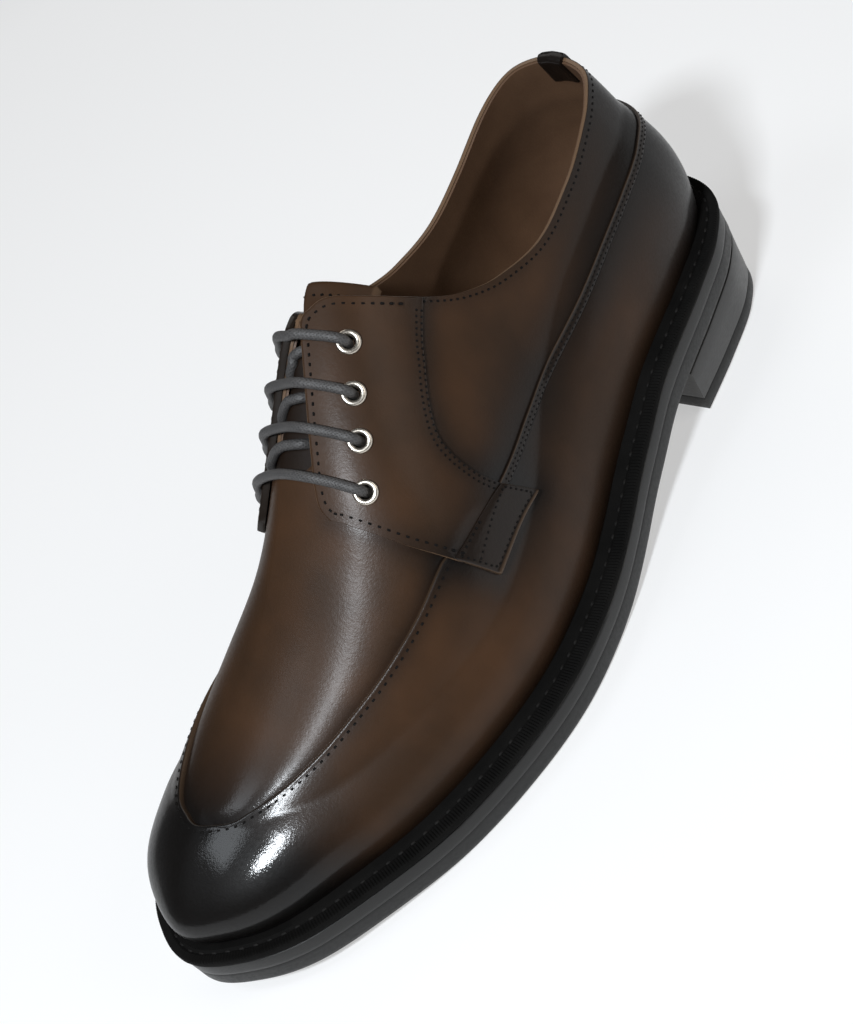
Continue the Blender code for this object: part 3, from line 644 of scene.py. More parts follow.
# Burnish: darker polish at toe and heel and along seams; the wall is also darker towards the welt
burnishForm = {
    "toe": (230.0, 268.0, 0.985), "heel": (80.0, 8.0, 0.95), "foot": (15.0, 0.45),
    # run and most, for each line
    "lines": {
        "strap": (13.0, 0.82), "seam": (5.5, 0.62), "front": (5.0, 0.45),
        "tab": (9.0, 0.82), "apron": (4.0, 0.55), "topline": (5.0, 0.40),
    },
    "strapTo": 133.0, "apronFrom": 164.0, "toplineTo": 112.0,
}


def seamLines():
    lines = {name: [] for name in burnishForm["lines"]}
    patch = [(a, b) for a in np.linspace(0, 1, 10) for b in np.linspace(0, 1, 5)]
    for side in (outer, inner):
        for s in np.linspace(0, burnishForm["strapTo"], 70):
            lines["strap"].append(skin(s, side, strapArc(s, side))[0])
        low = facingEdges[side][0]
        first, second = facingForm["lowShares"]
        lines["seam"] += list(maps[side](low(np.linspace(0, first, 50)), 0.0))
        lines["front"] += list(maps[side](low(np.linspace(second, 1, 30)), 0.0))
        lines["tab"] += list(maps[side](tabPlaces(patch, side), 0.0))
        for s in np.linspace(burnishForm["apronFrom"], stationEnd, 90):
            lines["apron"].append(skin(s, side, apronArc(s, side))[0])
        for s in np.linspace(0, burnishForm["toplineTo"], 60):
            lines["topline"].append(skin(s, side, rimArc(s, side))[0])
    return {name: np.array(points) for name, points in lines.items()}


def nearest(points, line, batch=4000):
    out = np.empty(len(points))
    for k in range(0, len(points), batch):
        part = points[k:k + batch]
        out[k:k + batch] = np.sqrt(((part[:, None] - line[None]) ** 2).sum(-1).min(1))
    return out


def burnishAt(points):
    points = np.asarray(points, float).reshape(-1, 3)
    t, z = points[:, 1], points[:, 2]
    (toeFrom, toeTo, toeMost), (heelFrom, heelTo, heelMost) = burnishForm["toe"], burnishForm["heel"]
    kept = 1 - toeMost * softStep((t - toeFrom) / (toeTo - toeFrom))
    kept *= 1 - heelMost * softStep((heelFrom - t) / (heelFrom - heelTo))
    run, most = burnishForm["foot"]
    kept *= 1 - most * softStep(1 - (z - underside(t) - soleForm["edge"]) / run)
    for name, (run, most) in burnishForm["lines"].items():
        kept *= 1 - most * np.exp(-(nearest(points, burnishLines[name]) / run) ** 2)
    return 1 - kept


burnishLines = seamLines()


# Materials
def newFinish(name):
    finish = bpy.data.materials.new(name)
    finish.use_nodes = True
    return finish, finish.node_tree, finish.node_tree.nodes["Principled BSDF"]


def objectCoords(tree):
    return tree.nodes.new("ShaderNodeTexCoord").outputs["Object"]


def noiseNode(tree, coords, scale, detail=2.0, rough=0.5):
    noise = tree.nodes.new("ShaderNodeTexNoise")
    noise.inputs["Scale"].default_value = scale
    noise.inputs["Detail"].default_value = detail
    noise.inputs["Roughness"].default_value = rough
    tree.links.new(coords, noise.inputs["Vector"])
    return noise.outputs["Fac"]


def mixNode(tree, share, first, second):
    mix = tree.nodes.new("ShaderNodeMix")
    mix.data_type = "RGBA"
    for name, value in (("Factor", share), ("A", first), ("B", second)):
        if isinstance(value, tuple):
            mix.inputs[name].default_value = (*value, 1.0)
        else:
            tree.links.new(value, mix.inputs[name])
    return mix.outputs["Result"]


def rangeNode(tree, value, low, high, toLow=0.0, toHigh=1.0):
    node = tree.nodes.new("ShaderNodeMapRange")
    tree.links.new(value, node.inputs["Value"])
    for name, number in (("From Min", low), ("From Max", high), ("To Min", toLow), ("To Max", toHigh)):
        node.inputs[name].default_value = number
    return node.outputs["Result"]


def bumpNode(tree, height, strength, distance, below=None):
    bump = tree.nodes.new("ShaderNodeBump")
    bump.inputs["Strength"].default_value = strength
    bump.inputs["Distance"].default_value = distance
    tree.links.new(height, bump.inputs["Height"])
    if below is not None:
        tree.links.new(below, bump.inputs["Normal"])
    return bump.outputs["Normal"]


def attributeNode(tree, name):
    node = tree.nodes.new("ShaderNodeAttribute")
    node.attribute_name = name
    return node.outputs["Fac"]


leatherLook = {
    "brown": (0.032, 0.0162, 0.0080), "warm": (0.052, 0.0245, 0.0112),
    "dark": (0.0030, 0.0026, 0.0024), "raw": (0.135, 0.082, 0.048),
    "patchScale": 38.0, "grainScale": 2300.0, "poreScale": 900.0, "grain": 0.16,
    "roughness": (0.42, 0.55), "specular": 0.12,
    "coat": (0.11, 0.36), "coatRough": (0.26, 0.08),   # plain and burnished: the burnished parts are glossier
}


def leatherFinish(name, look):
    finish, tree, shader = newFinish(name)
    link, sockets = tree.links.new, shader.inputs
    coords = objectCoords(tree)
    patches = rangeNode(tree, noiseNode(tree, coords, look["patchScale"], 3.0), 0.35, 0.70)
    colour = mixNode(tree, patches, look["brown"], look["warm"])
    colour = mixNode(tree, attributeNode(tree, "burnishAndShade"), colour, look["dark"])
    colour = mixNode(tree, attributeNode(tree, "rawEdge"), colour, look["raw"])
    link(colour, sockets["Base Color"])
    grain = noiseNode(tree, coords, look["grainScale"], 2.0)
    pores = noiseNode(tree, coords, look["poreScale"], 3.0, 0.6)
    link(rangeNode(tree, pores, 0.3, 0.7, *look["roughness"]), sockets["Roughness"])
    rough = bumpNode(tree, pores, look["grain"], 0.00025)
    rough = bumpNode(tree, grain, look["grain"], 0.00012, rough)
    link(rough, sockets["Normal"])
    link(rough, sockets["Coat Normal"])
    sockets["Specular IOR Level"].default_value = look["specular"]
    for socket, ends in (("Coat Weight", look["coat"]), ("Coat Roughness", look["coatRough"])):
        link(rangeNode(tree, attributeNode(tree, "burnishAndShade"), 0.3, 1.0, *ends), sockets[socket])
    return finish


def plainFinish(name, light, dark, scale, roughness, bump, bumpScale, coat=0.0, stretch=None, metallic=0.0,
                specular=0.5):
    # two tones in a noise, with a bump of its own scale
    finish, tree, shader = newFinish(name)
    coords = objectCoords(tree)
    if stretch:
        mapping = tree.nodes.new("ShaderNodeMapping")
        mapping.inputs["Scale"].default_value = stretch
        tree.links.new(coords, mapping.inputs["Vector"])
        coords = mapping.outputs["Vector"]
    tone = rangeNode(tree, noiseNode(tree, coords, scale, 4.0), 0.3, 0.7)
    tree.links.new(mixNode(tree, tone, light, dark), shader.inputs["Base Color"])
    fine = noiseNode(tree, coords, bumpScale, 3.0)
    tree.links.new(bumpNode(tree, fine, bump, 0.0002), shader.inputs["Normal"])
    tree.links.new(rangeNode(tree, fine, 0.3, 0.7, *roughness), shader.inputs["Roughness"])
    plain = {"Metallic": metallic, "Specular IOR Level": specular, "Coat Weight": coat, "Coat Roughness": 0.2}
    for socket, value in plain.items():
        shader.inputs[socket].default_value = value
    return finish


upperLeather = leatherFinish("polishedBrownLeather", leatherLook)
softLook = {"coat": (0.04, 0.06), "coatRough": (0.4, 0.4), "specular": 0.1}
tongueLeather = leatherFinish("softBrownLeather", {**leatherLook, **softLook})
liningLeather = plainFinish(
    "liningLeather", (0.115, 0.062, 0.033), (0.085, 0.044, 0.023), 60, (0.50, 0.65), 0.25, 1500)
bedLeather = plainFinish(
    "insoleLeather", (0.30, 0.175, 0.090), (0.24, 0.135, 0.068), 45, (0.50, 0.65), 0.25, 1200)
weltLeather = plainFinish(
    "weltBlack", (0.0035, 0.0033, 0.0031), (0.006, 0.0056, 0.0052), 90, (0.72, 0.85), 0.3, 1400,
    specular=0.06)
edgeWax = plainFinish(
    "soleEdgeWax", (0.007, 0.0067, 0.0063), (0.010, 0.0094, 0.0088), 40, (0.36, 0.48), 0.15, 700,
    coat=0.06, stretch=(1, 1, 6), specular=0.32)
heelWax = plainFinish(
    "heelEdgeWax", (0.014, 0.0135, 0.0128), (0.018, 0.0170, 0.0158), 30, (0.34, 0.46), 0.12, 500,
    coat=0.12, stretch=(1, 1, 6), specular=0.4)
soleRubber = plainFinish(
    "soleRubber", (0.007, 0.0067, 0.0064), (0.010, 0.0095, 0.009), 60, (0.42, 0.56), 0.2, 900, specular=0.36)
eyeletMetal = plainFinish(
    "eyeletNickel", (0.74, 0.68, 0.59), (0.66, 0.60, 0.52), 300, (0.26, 0.38), 0.05, 2500, metallic=1.0)
darkThread = plainFinish(
    "darkThread", (0.0035, 0.003, 0.0028), (0.006, 0.005, 0.0045), 2500, (0.6, 0.8), 0.3, 4000, specular=0.1)
greyThread = plainFinish(
    "greyThread", (0.013, 0.012, 0.011), (0.008, 0.0076, 0.0072), 900, (0.6, 0.8), 0.3, 4000, specular=0.12)
laceLook = {
    "hollow": (0.025, 0.0235, 0.0235), "strand": (0.054, 0.051, 0.050), "fibre": (0.090, 0.086, 0.084),
}


def laceFinish():   # waxed round cord with a fine braid
    finish, tree, shader = newFinish("waxedLace")
    link = tree.links.new
    coords = tree.nodes.new("ShaderNodeTexCoord").outputs
    both = tree.nodes.new("ShaderNodeMath")
    both.operation = "MAXIMUM"
    for k, turn in enumerate((1, -1)):
        wave = tree.nodes.new("ShaderNodeTexWave")
        wave.bands_direction = "DIAGONAL"
        wave.inputs["Scale"].default_value = 1.0
        wave.inputs["Distortion"].default_value = 0.6
        turned = tree.nodes.new("ShaderNodeMapping")
        turned.inputs["Scale"].default_value = (5.0, 5.0 * turn, 1.0)
        link(coords["UV"], turned.inputs["Vector"])
        link(turned.outputs["Vector"], wave.inputs["Vector"])
        link(wave.outputs["Fac"], both.inputs[k])
    height = both.outputs["Value"]
    fibres = noiseNode(tree, coords["Object"], 2600, 3.0)
    # painted shade: the braid's hollows take a darker colour than its strands
    tone = mixNode(tree, rangeNode(tree, height, 0.2, 1.0), laceLook["hollow"], laceLook["strand"])
    tone = mixNode(tree, rangeNode(tree, fibres, 0.45, 0.8), tone, laceLook["fibre"])
    link(tone, shader.inputs["Base Color"])
    braid = bumpNode(tree, height, 0.35, 0.0003)
    link(bumpNode(tree, fibres, 0.3, 0.0002, braid), shader.inputs["Normal"])
    shader.inputs["Roughness"].default_value = 0.55
    return finish


laceCord = laceFinish()
print("finishes made")


# Upper: outer leather with the apron let in below the vamp wall
def upperStations():
    turn = throatEnd - upperForm["throatRound"] * (1 - np.cos(np.linspace(math.pi / 2, 0, 16)))
    back = stationRun((0, heelFan, 110, turn[0]), (37, 54, 44))
    return np.concatenate([back, turn[1:], stationRun((throatEnd, toeFan, stationEnd), (62, 46))[1:]])


def ringOf(stations):
    return [(s, outer) for s in stations] + [(s, inner) for s in stations[-2:0:-1]]


def upperProfile(station, side):   # arcs up wall and apron, their lifts, and where the cut edge shows
    rim, seam, depth = rimArc(station, side), apronArc(station, side), apronDepth(station)
    rows = [(arc, 0.0, 0.0) for arc in np.linspace(0, seam - 3.2, upperForm["wallRows"])]
    rows += [(seam - d, 0.0, 0.0) for d in (2.5, 1.9, 1.4)]
    shown = upperForm["apronCut"] * float(depth > 0.4)
    rows += [(seam - d, -share * depth, edge * shown) for d, share, edge in upperForm["seamEdge"]]
    roll, run = upperForm["apronRoll"]

    def rolled(d):   # the roll is gone at the ridge, where both sides meet
        return -depth * (1 + roll * math.exp(-d / run) * (1 - d / (rim - seam)) ** 2)

    rows += [(seam + d, rolled(d), edge * shown) for d, edge in upperForm["apronEdge"]]
    over = np.linspace(upperForm["apronEdge"][-1][0], rim - seam, upperForm["apronRows"] + 1)[1:-1]
    rows += [(seam + d, rolled(d), 0.0) for d in over]
    opened = station < throatEnd
    last = rows[-1][0]
    for share, drop, edge in upperForm["rimEdge"]:
        rows.append((last + (rim - last) * share, -depth - drop * opened, edge * opened))
    return np.array(rows)


def ringShell(ring, outside, inside):   # points and faces of two skins, joined at foot and opening
    count, rows, inRows = len(ring), outside.shape[1], inside.shape[1]
    shift = count * rows
    faces = gridFaces(count, rows, 0, True) + gridFaces(count, inRows, shift, True)
    for i in range(count):
        j = (i + 1) % count
        faces.append((i * rows, shift + i * inRows, shift + j * inRows, j * rows))
        if max(ring[i][0], ring[j][0]) <= throatEnd:
            a, b = (i + 1) * rows - 1, (j + 1) * rows - 1
            faces.append((a, b, shift + (j + 1) * inRows - 1, shift + (i + 1) * inRows - 1))
    return np.vstack([outside.reshape(-1, 3), inside.reshape(-1, 3)]), faces


def makeUpper():
    ring = ringOf(upperStations())
    outside, inside, edges = [], [], []
    for station, side in ring:
        rows = upperProfile(station, side)
        outside.append(skin(station, side, rows[:, 0], rows[:, 1]))
        edges.append(rows[:, 2])
        arcs = np.linspace(0, rows[-1, 0], upperForm["innerRows"])
        depth = -rows[-5, 1] * (1 + upperForm["apronRoll"][0])
        deep = depth * softStep((arcs - rows[upperForm["wallRows"], 0] + 2) / 4)
        inside.append(skin(station, side, arcs, -upperForm["leather"] - deep))
    points, faces = ringShell(ring, np.array(outside), np.array(inside))
    inEdge = np.zeros((len(ring), upperForm["innerRows"]))
    inEdge[:, -1] = [float(s < throatEnd) for s, _ in ring]
    marks = {"burnishAndShade": burnishAt(points), "rawEdge": bothFaces(edges, inEdge)}
    return addPiece("upperLeather", points, faces, upperLeather, ["upper"], marks, 50)


liningForm = {"rows": 30, "short": 0.35, "clear": 0.06}   # it ends short of the rim, clear of the leather


def makeLining():
    ring = ringOf(np.append(upperStations()[::2], stationEnd))
    outside, inside = [], []
    for station, side in ring:
        depth = apronDepth(station) * (1 + upperForm["apronRoll"][0])
        short = liningForm["short"] if station < throatEnd else 0.0
        arcs = np.linspace(0, rimArc(station, side) - short, liningForm["rows"])
        deep = depth * softStep((arcs - apronArc(station, side) + 5) / 4)
        outside.append(skin(station, side, arcs, -upperForm["leather"] - liningForm["clear"] - deep))
        inside.append(skin(station, side, arcs, -upperForm["wall"] - deep))
    points, faces = ringShell(ring, np.array(outside), np.array(inside))
    addPiece("upperLining", points, faces, liningLeather)


upperPiece = makeUpper()
makeLining()
print("upper and lining made")


# Overlays on the upper
def edgeSpacing(span, count=30):   # distances across a piece, close together at both edges
    near = (0.0, 0.12, 0.3, 0.6, 1.0, 1.6)
    scale = min(1.0, span / (4 * near[-1])) if span > 0 else 0.0
    near = [d * scale for d in near]
    middle = np.linspace(near[-1], span - near[-1], count)[1:-1]
    return np.concatenate([near, middle, [span - d for d in reversed(near)]])


def roundedOff(distance, form):   # how much an edge drops, this far in from it
    return form["roundDrop"] * (1 - np.clip(distance / form["roundRun"], 0, 1)) ** 2


def facingLift(fromSeam):   # a facing's height, pared thin at its double seam
    pared = facingForm["lift"] - facingForm["skived"]
    return facingForm["lift"] - pared * (1 - softStep(fromSeam / facingForm["skiveRun"]))


def makeFacing(name, side):
    low, high = facingEdges[side]
    first, second = facingForm["lowShares"]
    even = np.linspace(0, 1, 150)
    bend = (1 - np.cos(even * math.pi)) / 2
    shares = np.unique(np.concatenate([0.001 + 0.998 * (0.35 * bend + 0.65 * even), [first, second]]))
    seam = maps[side](low(np.linspace(0, first, 400)), 0.0)
    top, bottom, edge = [], [], []
    for v, a, b in zip(shares, low(shares), high(shares)):
        gap = edgeSpacing(np.linalg.norm(maps[side]([b], 1.0) - maps[side]([a], 1.0)))
        places = a + (b - a) * (gap / gap[-1])[:, None]
        onSeam = 1 - float(softStep((v - first + 0.02) / 0.04))
        onTab = (1 - onSeam) * (1 - float(softStep((v - second) / 0.02)))
        free = (1 - onSeam) * (1 - onTab)
        sunk = onTab * (facingForm["lift"] - facingForm["underTab"]) * (1 - softStep((gap - 2) / 6))
        lift = np.minimum(facingLift(nearest(maps[side](places, 0.0), seam)), facingForm["lift"] - sunk)
        lift -= roundedOff(gap[-1] - gap, facingForm) + (free + 0.5 * onSeam) * roundedOff(gap, facingForm)
        top.append(maps[side](places, lift))
        bottom.append(maps[side](places, overlaySink))
        cut = np.zeros(len(gap))
        # painted shade: the inner facing's cut edge keeps little of the raw edge's light colour
        cut[-2:] = 1.0 if side == outer else 0.06
        cut[:2] = max(free, 0.1 * onSeam)
        edge.append(cut)
    top, bottom, edge = np.array(top), np.array(bottom), np.array(edge)
    dark = np.zeros_like(edge)
    dark[:, -3:] = 0.0 if side == outer else 0.96   # painted shade: the inner facing's cut edge is near black, as it lies in shade
    burnishAndShade = np.maximum(burnishAt([top, bottom]) * 0.92, bothFaces(dark))
    marks = {"burnishAndShade": burnishAndShade, "rawEdge": bothFaces(edge)}
    return sheetPiece(f"{name}Leather", top, bottom, upperLeather, [name], marks, 45)


def makeTab(name, side):
    wide, tall = tabForm["size"]
    alongs, ups = edgeSpacing(wide, 28) / wide, edgeSpacing(tall, 16) / tall
    shares = np.array([(a, b) for a in alongs for b in ups])
    ends = np.minimum(shares[:, 0], 1 - shares[:, 0]) * wide
    low, high = shares[:, 1] * tall, (1 - shares[:, 1]) * tall
    lift = tabForm["lift"] - roundedOff(ends, tabForm) - roundedOff(low, tabForm)
    lift += tabForm["rim"] * np.exp(-((low - 0.8) / 0.5) ** 2)     # the folded rim
    lift -= tabForm["tuck"] * (1 - softStep(high / 2.4))              # the top edge goes in under the facing
    places = tabPlaces(shares, side)
    shape = (len(alongs), len(ups), 3)
    top, bottom = (maps[side](places, height).reshape(shape) for height in (lift, overlaySink))
    edge = np.where((ends < 0.2) | (low < 1.1), 0.35, 0.0)
    marks = {"burnishAndShade": np.full(2 * len(shares), 0.82), "rawEdge": bothFaces(edge, edge * 0.6)}
    sheetPiece(f"{name}Leather", top, bottom, upperLeather, [name], marks, 45)


def strapWay(stations, inset):   # a path round the heel, this far below the strap's top edge
    # the inner tab is nearer the toe, so the inner side's stations are stretched
    places = [(s * (1 + shiftOf(side) / strapEnd), side) for s, side in roundHeel(stations)]
    return [(s, side, strapArc(s, side) + strapForm["width"] / 2 - inset) for s, side in places]


def makeStrap():
    profile = np.array(strapForm["profile"])
    way = strapWay(stationRun((0, heelFan, strapEnd), (40, 96)), 0.0)
    top = np.array([skin(s, side, arc - profile[:, 0], profile[:, 1]) for s, side, arc in way])
    bottom = np.array([skin(s, side, arc - profile[:, 0], overlaySink) for s, side, arc in way])
    edge = np.zeros(top.shape[:2])
    edge[:, 2:4] = 0.22
    marks = {"burnishAndShade": np.full(2 * edge.size, 0.84), "rawEdge": bothFaces(edge, 0 * edge)}
    sheetPiece("strapLeather", top, bottom, upperLeather, ["strap"], marks, 50)


pullForm = {"halfWidth": 4.6, "endInset": 0.35, "strips": 13, "highest": 149.0}


def makePullTab():   # a strip folded over the back of the collar
    wall = upperForm["wall"]
    # height from the topline and lift, down the outside, over the rim, down the inside and back
    section = [
        (-9.5, 0.1), (-9.4, 0.8), (-8.6, 1.1), (-4.0, 1.15), (-0.6, 1.2), (0.5, 0.9), (1.1, 0.2),
        (1.3, -wall / 2), (1.1, -wall - 0.2), (0.4, -wall - 0.9), (-0.8, -wall - 1.1), (-5.0, -wall - 1.1),
        (-10.0, -wall - 1.0), (-10.4, -wall - 0.4), (-10.2, -wall + 0.2), (-5.0, -wall + 0.2),
        (-0.6, -wall + 0.2), (-0.3, -wall / 2), (-0.6, -0.2), (-4.0, -0.2), (-9.0, -0.2),
    ]
    points = []
    shares = np.linspace(-1, 1, pullForm["strips"])
    for share in shares:
        s, side = abs(share) * pullForm["halfWidth"], outer if share >= 0 else inner
        inset = pullForm["endInset"] * (abs(share) > 0.99)
        for height, lift in section:
            arc = arcAtHeight(columnAt(s, side), min(float(topline(s)) + height, pullForm["highest"]))
            points.append(skin(s, side, float(arc), lift - inset * np.sign(lift + wall / 2))[0])
    faces = tubeFaces(len(shares), len(section))
    marks = {"burnishAndShade": np.full(len(points), 0.9), "rawEdge": np.zeros(len(points))}
    addPiece("pullTabLeather", points, faces, upperLeather, ["pull_tab"], marks, 50)


def underTop(t, offset, drop):   # a point under the instep, offset from the ridge in plan
    here = columnAt(t, outer if offset >= 0 else inner)
    far = abs(offset)
    before, p, after = (onColumn(here, np.array([uAtReach(here, far + d)]))[0] for d in (-0.6, 0.0, 0.6))
    slope = abs(after[2] - before[2]) / min(1.2, far + 0.6)
    p[2] -= drop * math.hypot(1.0, min(slope, tongueForm["steepest"]))
    return p


def tonguePoint(share, across, extra):
    top, last, (leanTo, leanRun) = tongueForm["top"], tongueForm["last"], tongueForm["leanRun"]
    wide = float(tongueHalf(top + (last - top) * share)) * abs(across)
    first = top - tongueForm["slant"] * wide
    t = first + (last - first) * share
    here = columnAt(t, outer if across >= 0 else inner)
    spot = onColumn(here, uAtArc(here, here["arc"][-1] - wide))
    p = underTop(t, float(spot[0] - ridgeX(t)), float(tongueDrop(t)) + extra)
    p[0] -= tongueForm["lean"] * float(softStep((leanTo - t) / leanRun))
    return p


def makeTongue():
    rows = np.concatenate([[0.0, 0.004, 0.012, 0.025], np.linspace(0.045, 1, 50)])
    cols = np.linspace(1, -1, 45)
    top, bottom, edge = [], [], []
    for r in rows:
        rounding = 0.5 * (1 - min(r / 0.02, 1.0)) ** 2
        top.append([tonguePoint(r, w, rounding) for w in cols])
        bottom.append([tonguePoint(r, w, tongueForm["thick"]) for w in cols])
        edge.append([0.6 if r < 0.002 or abs(w) > 0.99 else 0.0 for w in cols])
    top, bottom = np.array(top), np.array(bottom)
    throatShade = 0.05 + 0.75 * softStep((top[..., 1] - tongueForm["top"] - 6) / 20)   # painted shade: darker down the throat, under the facings and lace
    marks = {"burnishAndShade": bothFaces(throatShade), "rawEdge": bothFaces(edge)}
    sheetPiece("tongueLeather", top, bottom, tongueLeather, ["tongue"], marks, 45)


facings = [makeFacing(f"facing_{word}", side) for word, side in sideWords]
for word, side in sideWords:
    makeTab(f"tab_{word}", side)
makeStrap()
makePullTab()
makeTongue()
print("overlays and tongue made")


# Eyelets: a rolled ring with a barrel through the leather
def eyeletFrame(station, side, distance):
    p, n = mapWay(side, [(station + shiftOf(side), distance)], 0.0)
    spot, normal = Vector(world(p)[0]), Vector((n[0][0], -n[0][1], n[0][2])).normalized()
    return Matrix.Translation(spot) @ normal.to_track_quat("Z", "Y").to_matrix().to_4x4()


def eyeletMesh():
    face, depth, barrelWall = facingForm["lift"], eyeletForm["depth"], eyeletForm["barrel"]
    bpy.ops.mesh.primitive_torus_add(
        major_segments=36, minor_segments=14,
        major_radius=eyeletForm["ringRadius"] * mm, minor_radius=eyeletForm["ringThick"] * mm)
    ring = bpy.context.object
    bpy.ops.object.mode_set(mode="EDIT")
    bpy.ops.mesh.select_all(action="SELECT")
    bpy.ops.transform.resize(value=(1, 1, eyeletForm["ringFlat"]))
    bpy.ops.transform.translate(value=(0, 0, (face + eyeletForm["ringRise"]) * mm))
    bpy.ops.object.mode_set(mode="OBJECT")
    bpy.ops.object.select_all(action="DESELECT")
    bpy.ops.mesh.primitive_cylinder_add(
        vertices=36, radius=(eyeletForm["hole"] + barrelWall) * mm, depth=depth * mm, end_fill_type="NOTHING",
        location=(0, 0, (face - 0.1 - depth / 2) * mm))
    barrel = bpy.context.object
    bpy.ops.object.transform_apply(location=True, rotation=True, scale=True)
    bpy.ops.object.modifier_add(type="SOLIDIFY")
    barrel.modifiers[-1].thickness = barrelWall * mm
    bpy.ops.object.modifier_apply(modifier=barrel.modifiers[-1].name)
    ring.select_set(True)
    bpy.context.view_layer.objects.active = ring
    bpy.ops.object.join()
    mesh = ring.data.copy()
    bpy.data.objects.remove(ring)
    return mesh


def cutHoles():   # the eyelets' holes, through facing and upper
    bpy.ops.object.select_all(action="DESELECT")
    radius, depth = (eyeletForm["hole"] + eyeletForm["cutRoom"]) * mm, eyeletForm["cutDepth"] * mm
    cutters = []
    for side in (outer, inner):
        for station, distance in eyeletForm["places"]:
            bpy.ops.mesh.primitive_cylinder_add(vertices=28, radius=radius, depth=depth)
            cutter = bpy.context.object
            cutter.data.transform(eyeletFrame(station, side, distance))
            cutters.append(cutter)
    for cutter in cutters:
        cutter.select_set(True)
    bpy.context.view_layer.objects.active = cutters[0]
    bpy.ops.object.join()
    tool = bpy.context.object
    for piece in (*facings, upperPiece):
        pick(piece)
        bpy.ops.object.modifier_add(type="BOOLEAN")
        piece.modifiers[-1].object = tool
        piece.modifiers[-1].solver = "EXACT"
        bpy.ops.object.modifier_apply(modifier=piece.modifiers[-1].name)
    bpy.data.objects.remove(tool)


cutHoles()
ringMesh = eyeletMesh()
for word, side in sideWords:
    for number, (station, distance) in enumerate(eyeletForm["places"], 1):
        mesh = ringMesh.copy()
        mesh.transform(eyeletFrame(station, side, distance))
        mesh.materials.clear()
        mesh.materials.append(eyeletMetal)
        eyelet = bpy.data.objects.new(f"eyelet{word.title()}{number}", mesh)
        scene.collection.objects.link(eyelet)
        finishPiece(eyelet, [f"eyelet_{word}_{number}"], 60)
print("eyelets set")


# Lace: bars over the facings, slanted runs on the tongue, ends inside at the top eyelets
def tubeMesh(path, radius, sides):
    way = unit(np.gradient(path, axis=0))
    side = np.cross(way[0], [0.0, 0.0, 1.0])
    turns = np.linspace(0, 2 * math.pi, sides, endpoint=False)
    points = []
    for p, d in zip(path, way):
        side = side - d * side.dot(d)          # carried along, so the cord doesn't twist
        side /= np.linalg.norm(side)
        up = np.cross(side, d)
        points += [p + (side * math.cos(a) + up * math.sin(a)) * radius for a in turns]
    return points, tubeFaces(len(path), sides)


def laceRoute():
    rest, over, inside = laceForm["rest"], laceForm["overRing"], laceForm["inside"]
    # distance from the eyelet's middle and lift, as the lace climbs out over the ring
    climb = [
        (0.0, -1.6), (0.3, 0.4), (0.8, 2.0), (1.7, 3.5), (2.9, over), (4.2, over),
        (6.0, (over + rest) / 2 + 0.2), (8.5, rest),
    ]
    places = eyeletForm["places"]
    route = []

    def at(side, t, distance, lift):
        route.append(maps[side]([(t, distance)], lift)[0])

    def bar(t, distance, sag):   # straight across from the outer eyelet to the inner one
        edge = float(frontLine(t)) + 0.4
        slope, last = (medialShift * share / distance for share in (laceForm["lead"], 1 - laceForm["lead"]))
        for d, lift in climb:
            at(outer, t + slope * d, distance - d, lift)
        at(outer, t + slope * (distance - edge), edge, rest)
        at(outer, t + slope * distance, 0.0, rest - sag)
        at(inner, t + medialShift - last * (distance - edge), edge, rest)
        for d, lift in climb[::-1]:
            at(inner, t + medialShift - last * d, distance - d, lift)

    def crossing(t, distance, nextT, nextDistance):   # from the inner eyelet to the next outer one
        start, end = t + medialShift, nextT
        innerEdge, outerEdge, under = laceForm["slant"]
        at(inner, start - 1.5, distance - 4.0, inside)
        spots = np.linspace(0.75 * float(frontLine(t)), -0.75 * float(frontLine(nextT)), 6)
        for d, share in zip(spots, np.linspace(innerEdge, outerEdge, 6)):
            mid = start + (end - start) * share
            at(inner if d > 0 else outer, mid, abs(d), laceForm["radius"] + 0.1 - float(tongueDrop(mid)))
        at(outer, start + (end - start) * under, float(frontLine(nextT)) + 0.5, inside)
        at(outer, end + 1.5, nextDistance - 4.0, inside)

    for t, distance in places[:3]:             # one end comes down inside from the top eyelet
        at(outer, t + 1.0, distance + 2.5, inside)
    at(outer, places[-1][0] - 4, places[-1][1] + 1.5, inside)
    for k in range(len(places) - 1, -1, -1):
        bar(*places[k], laceForm["sag"][k])
        if k:
            crossing(*places[k], *places[k - 1])
    at(inner, places[0][0] + medialShift - 0.5, places[0][1] + 1.0, inside)
    return np.array(route)


def makeLace():
    path = resample(curveThrough(laceRoute(), 3000), laceForm["step"])
    sides, girth = laceForm["sides"], 2 * math.pi * laceForm["radius"]
    points, faces = tubeMesh(path, laceForm["radius"], sides)
    replaced = [f"lace_bar_{k}" for k in range(1, 5)] + [f"lace_cross_{k}" for k in range(1, 4)]
    lace = addPiece("lace", points, faces, laceCord, replaced, None, 70)
    layer = lace.data.uv_layers.new(name="cord")
    for poly in lace.data.polygons:            # around and along the cord, in cord widths
        around = [lace.data.loops[i].vertex_index % sides for i in poly.loop_indices]
        for i, turn in zip(poly.loop_indices, around):
            row = lace.data.loops[i].vertex_index // sides
            turn = sides if turn == 0 and max(around) == sides - 1 else turn
            layer.data[i].uv = (turn / sides, row * laceForm["step"] / girth)
    print(f"lace of {runOf(path)[-1]:.0f} mm laid")


makeLace()


# Stitches
stitchForm = {
    "radius": 0.42, "share": 0.46, "sink": 0.10, "sides": 6, "lift": 0.02,
    # place along the stitch, share of its radius, drop
    "rings": ((-0.5, 0.45, 0.9), (-0.32, 1.0, 0.1), (0.32, 1.0, 0.1), (0.5, 0.45, 0.9)),
    # distance down from the edge, pitch
    "apron": (2.1, 2.9), "topline": (2.2, 2.2),
    "apronFrom": 168.0, "toplineTo": 112.0,
}


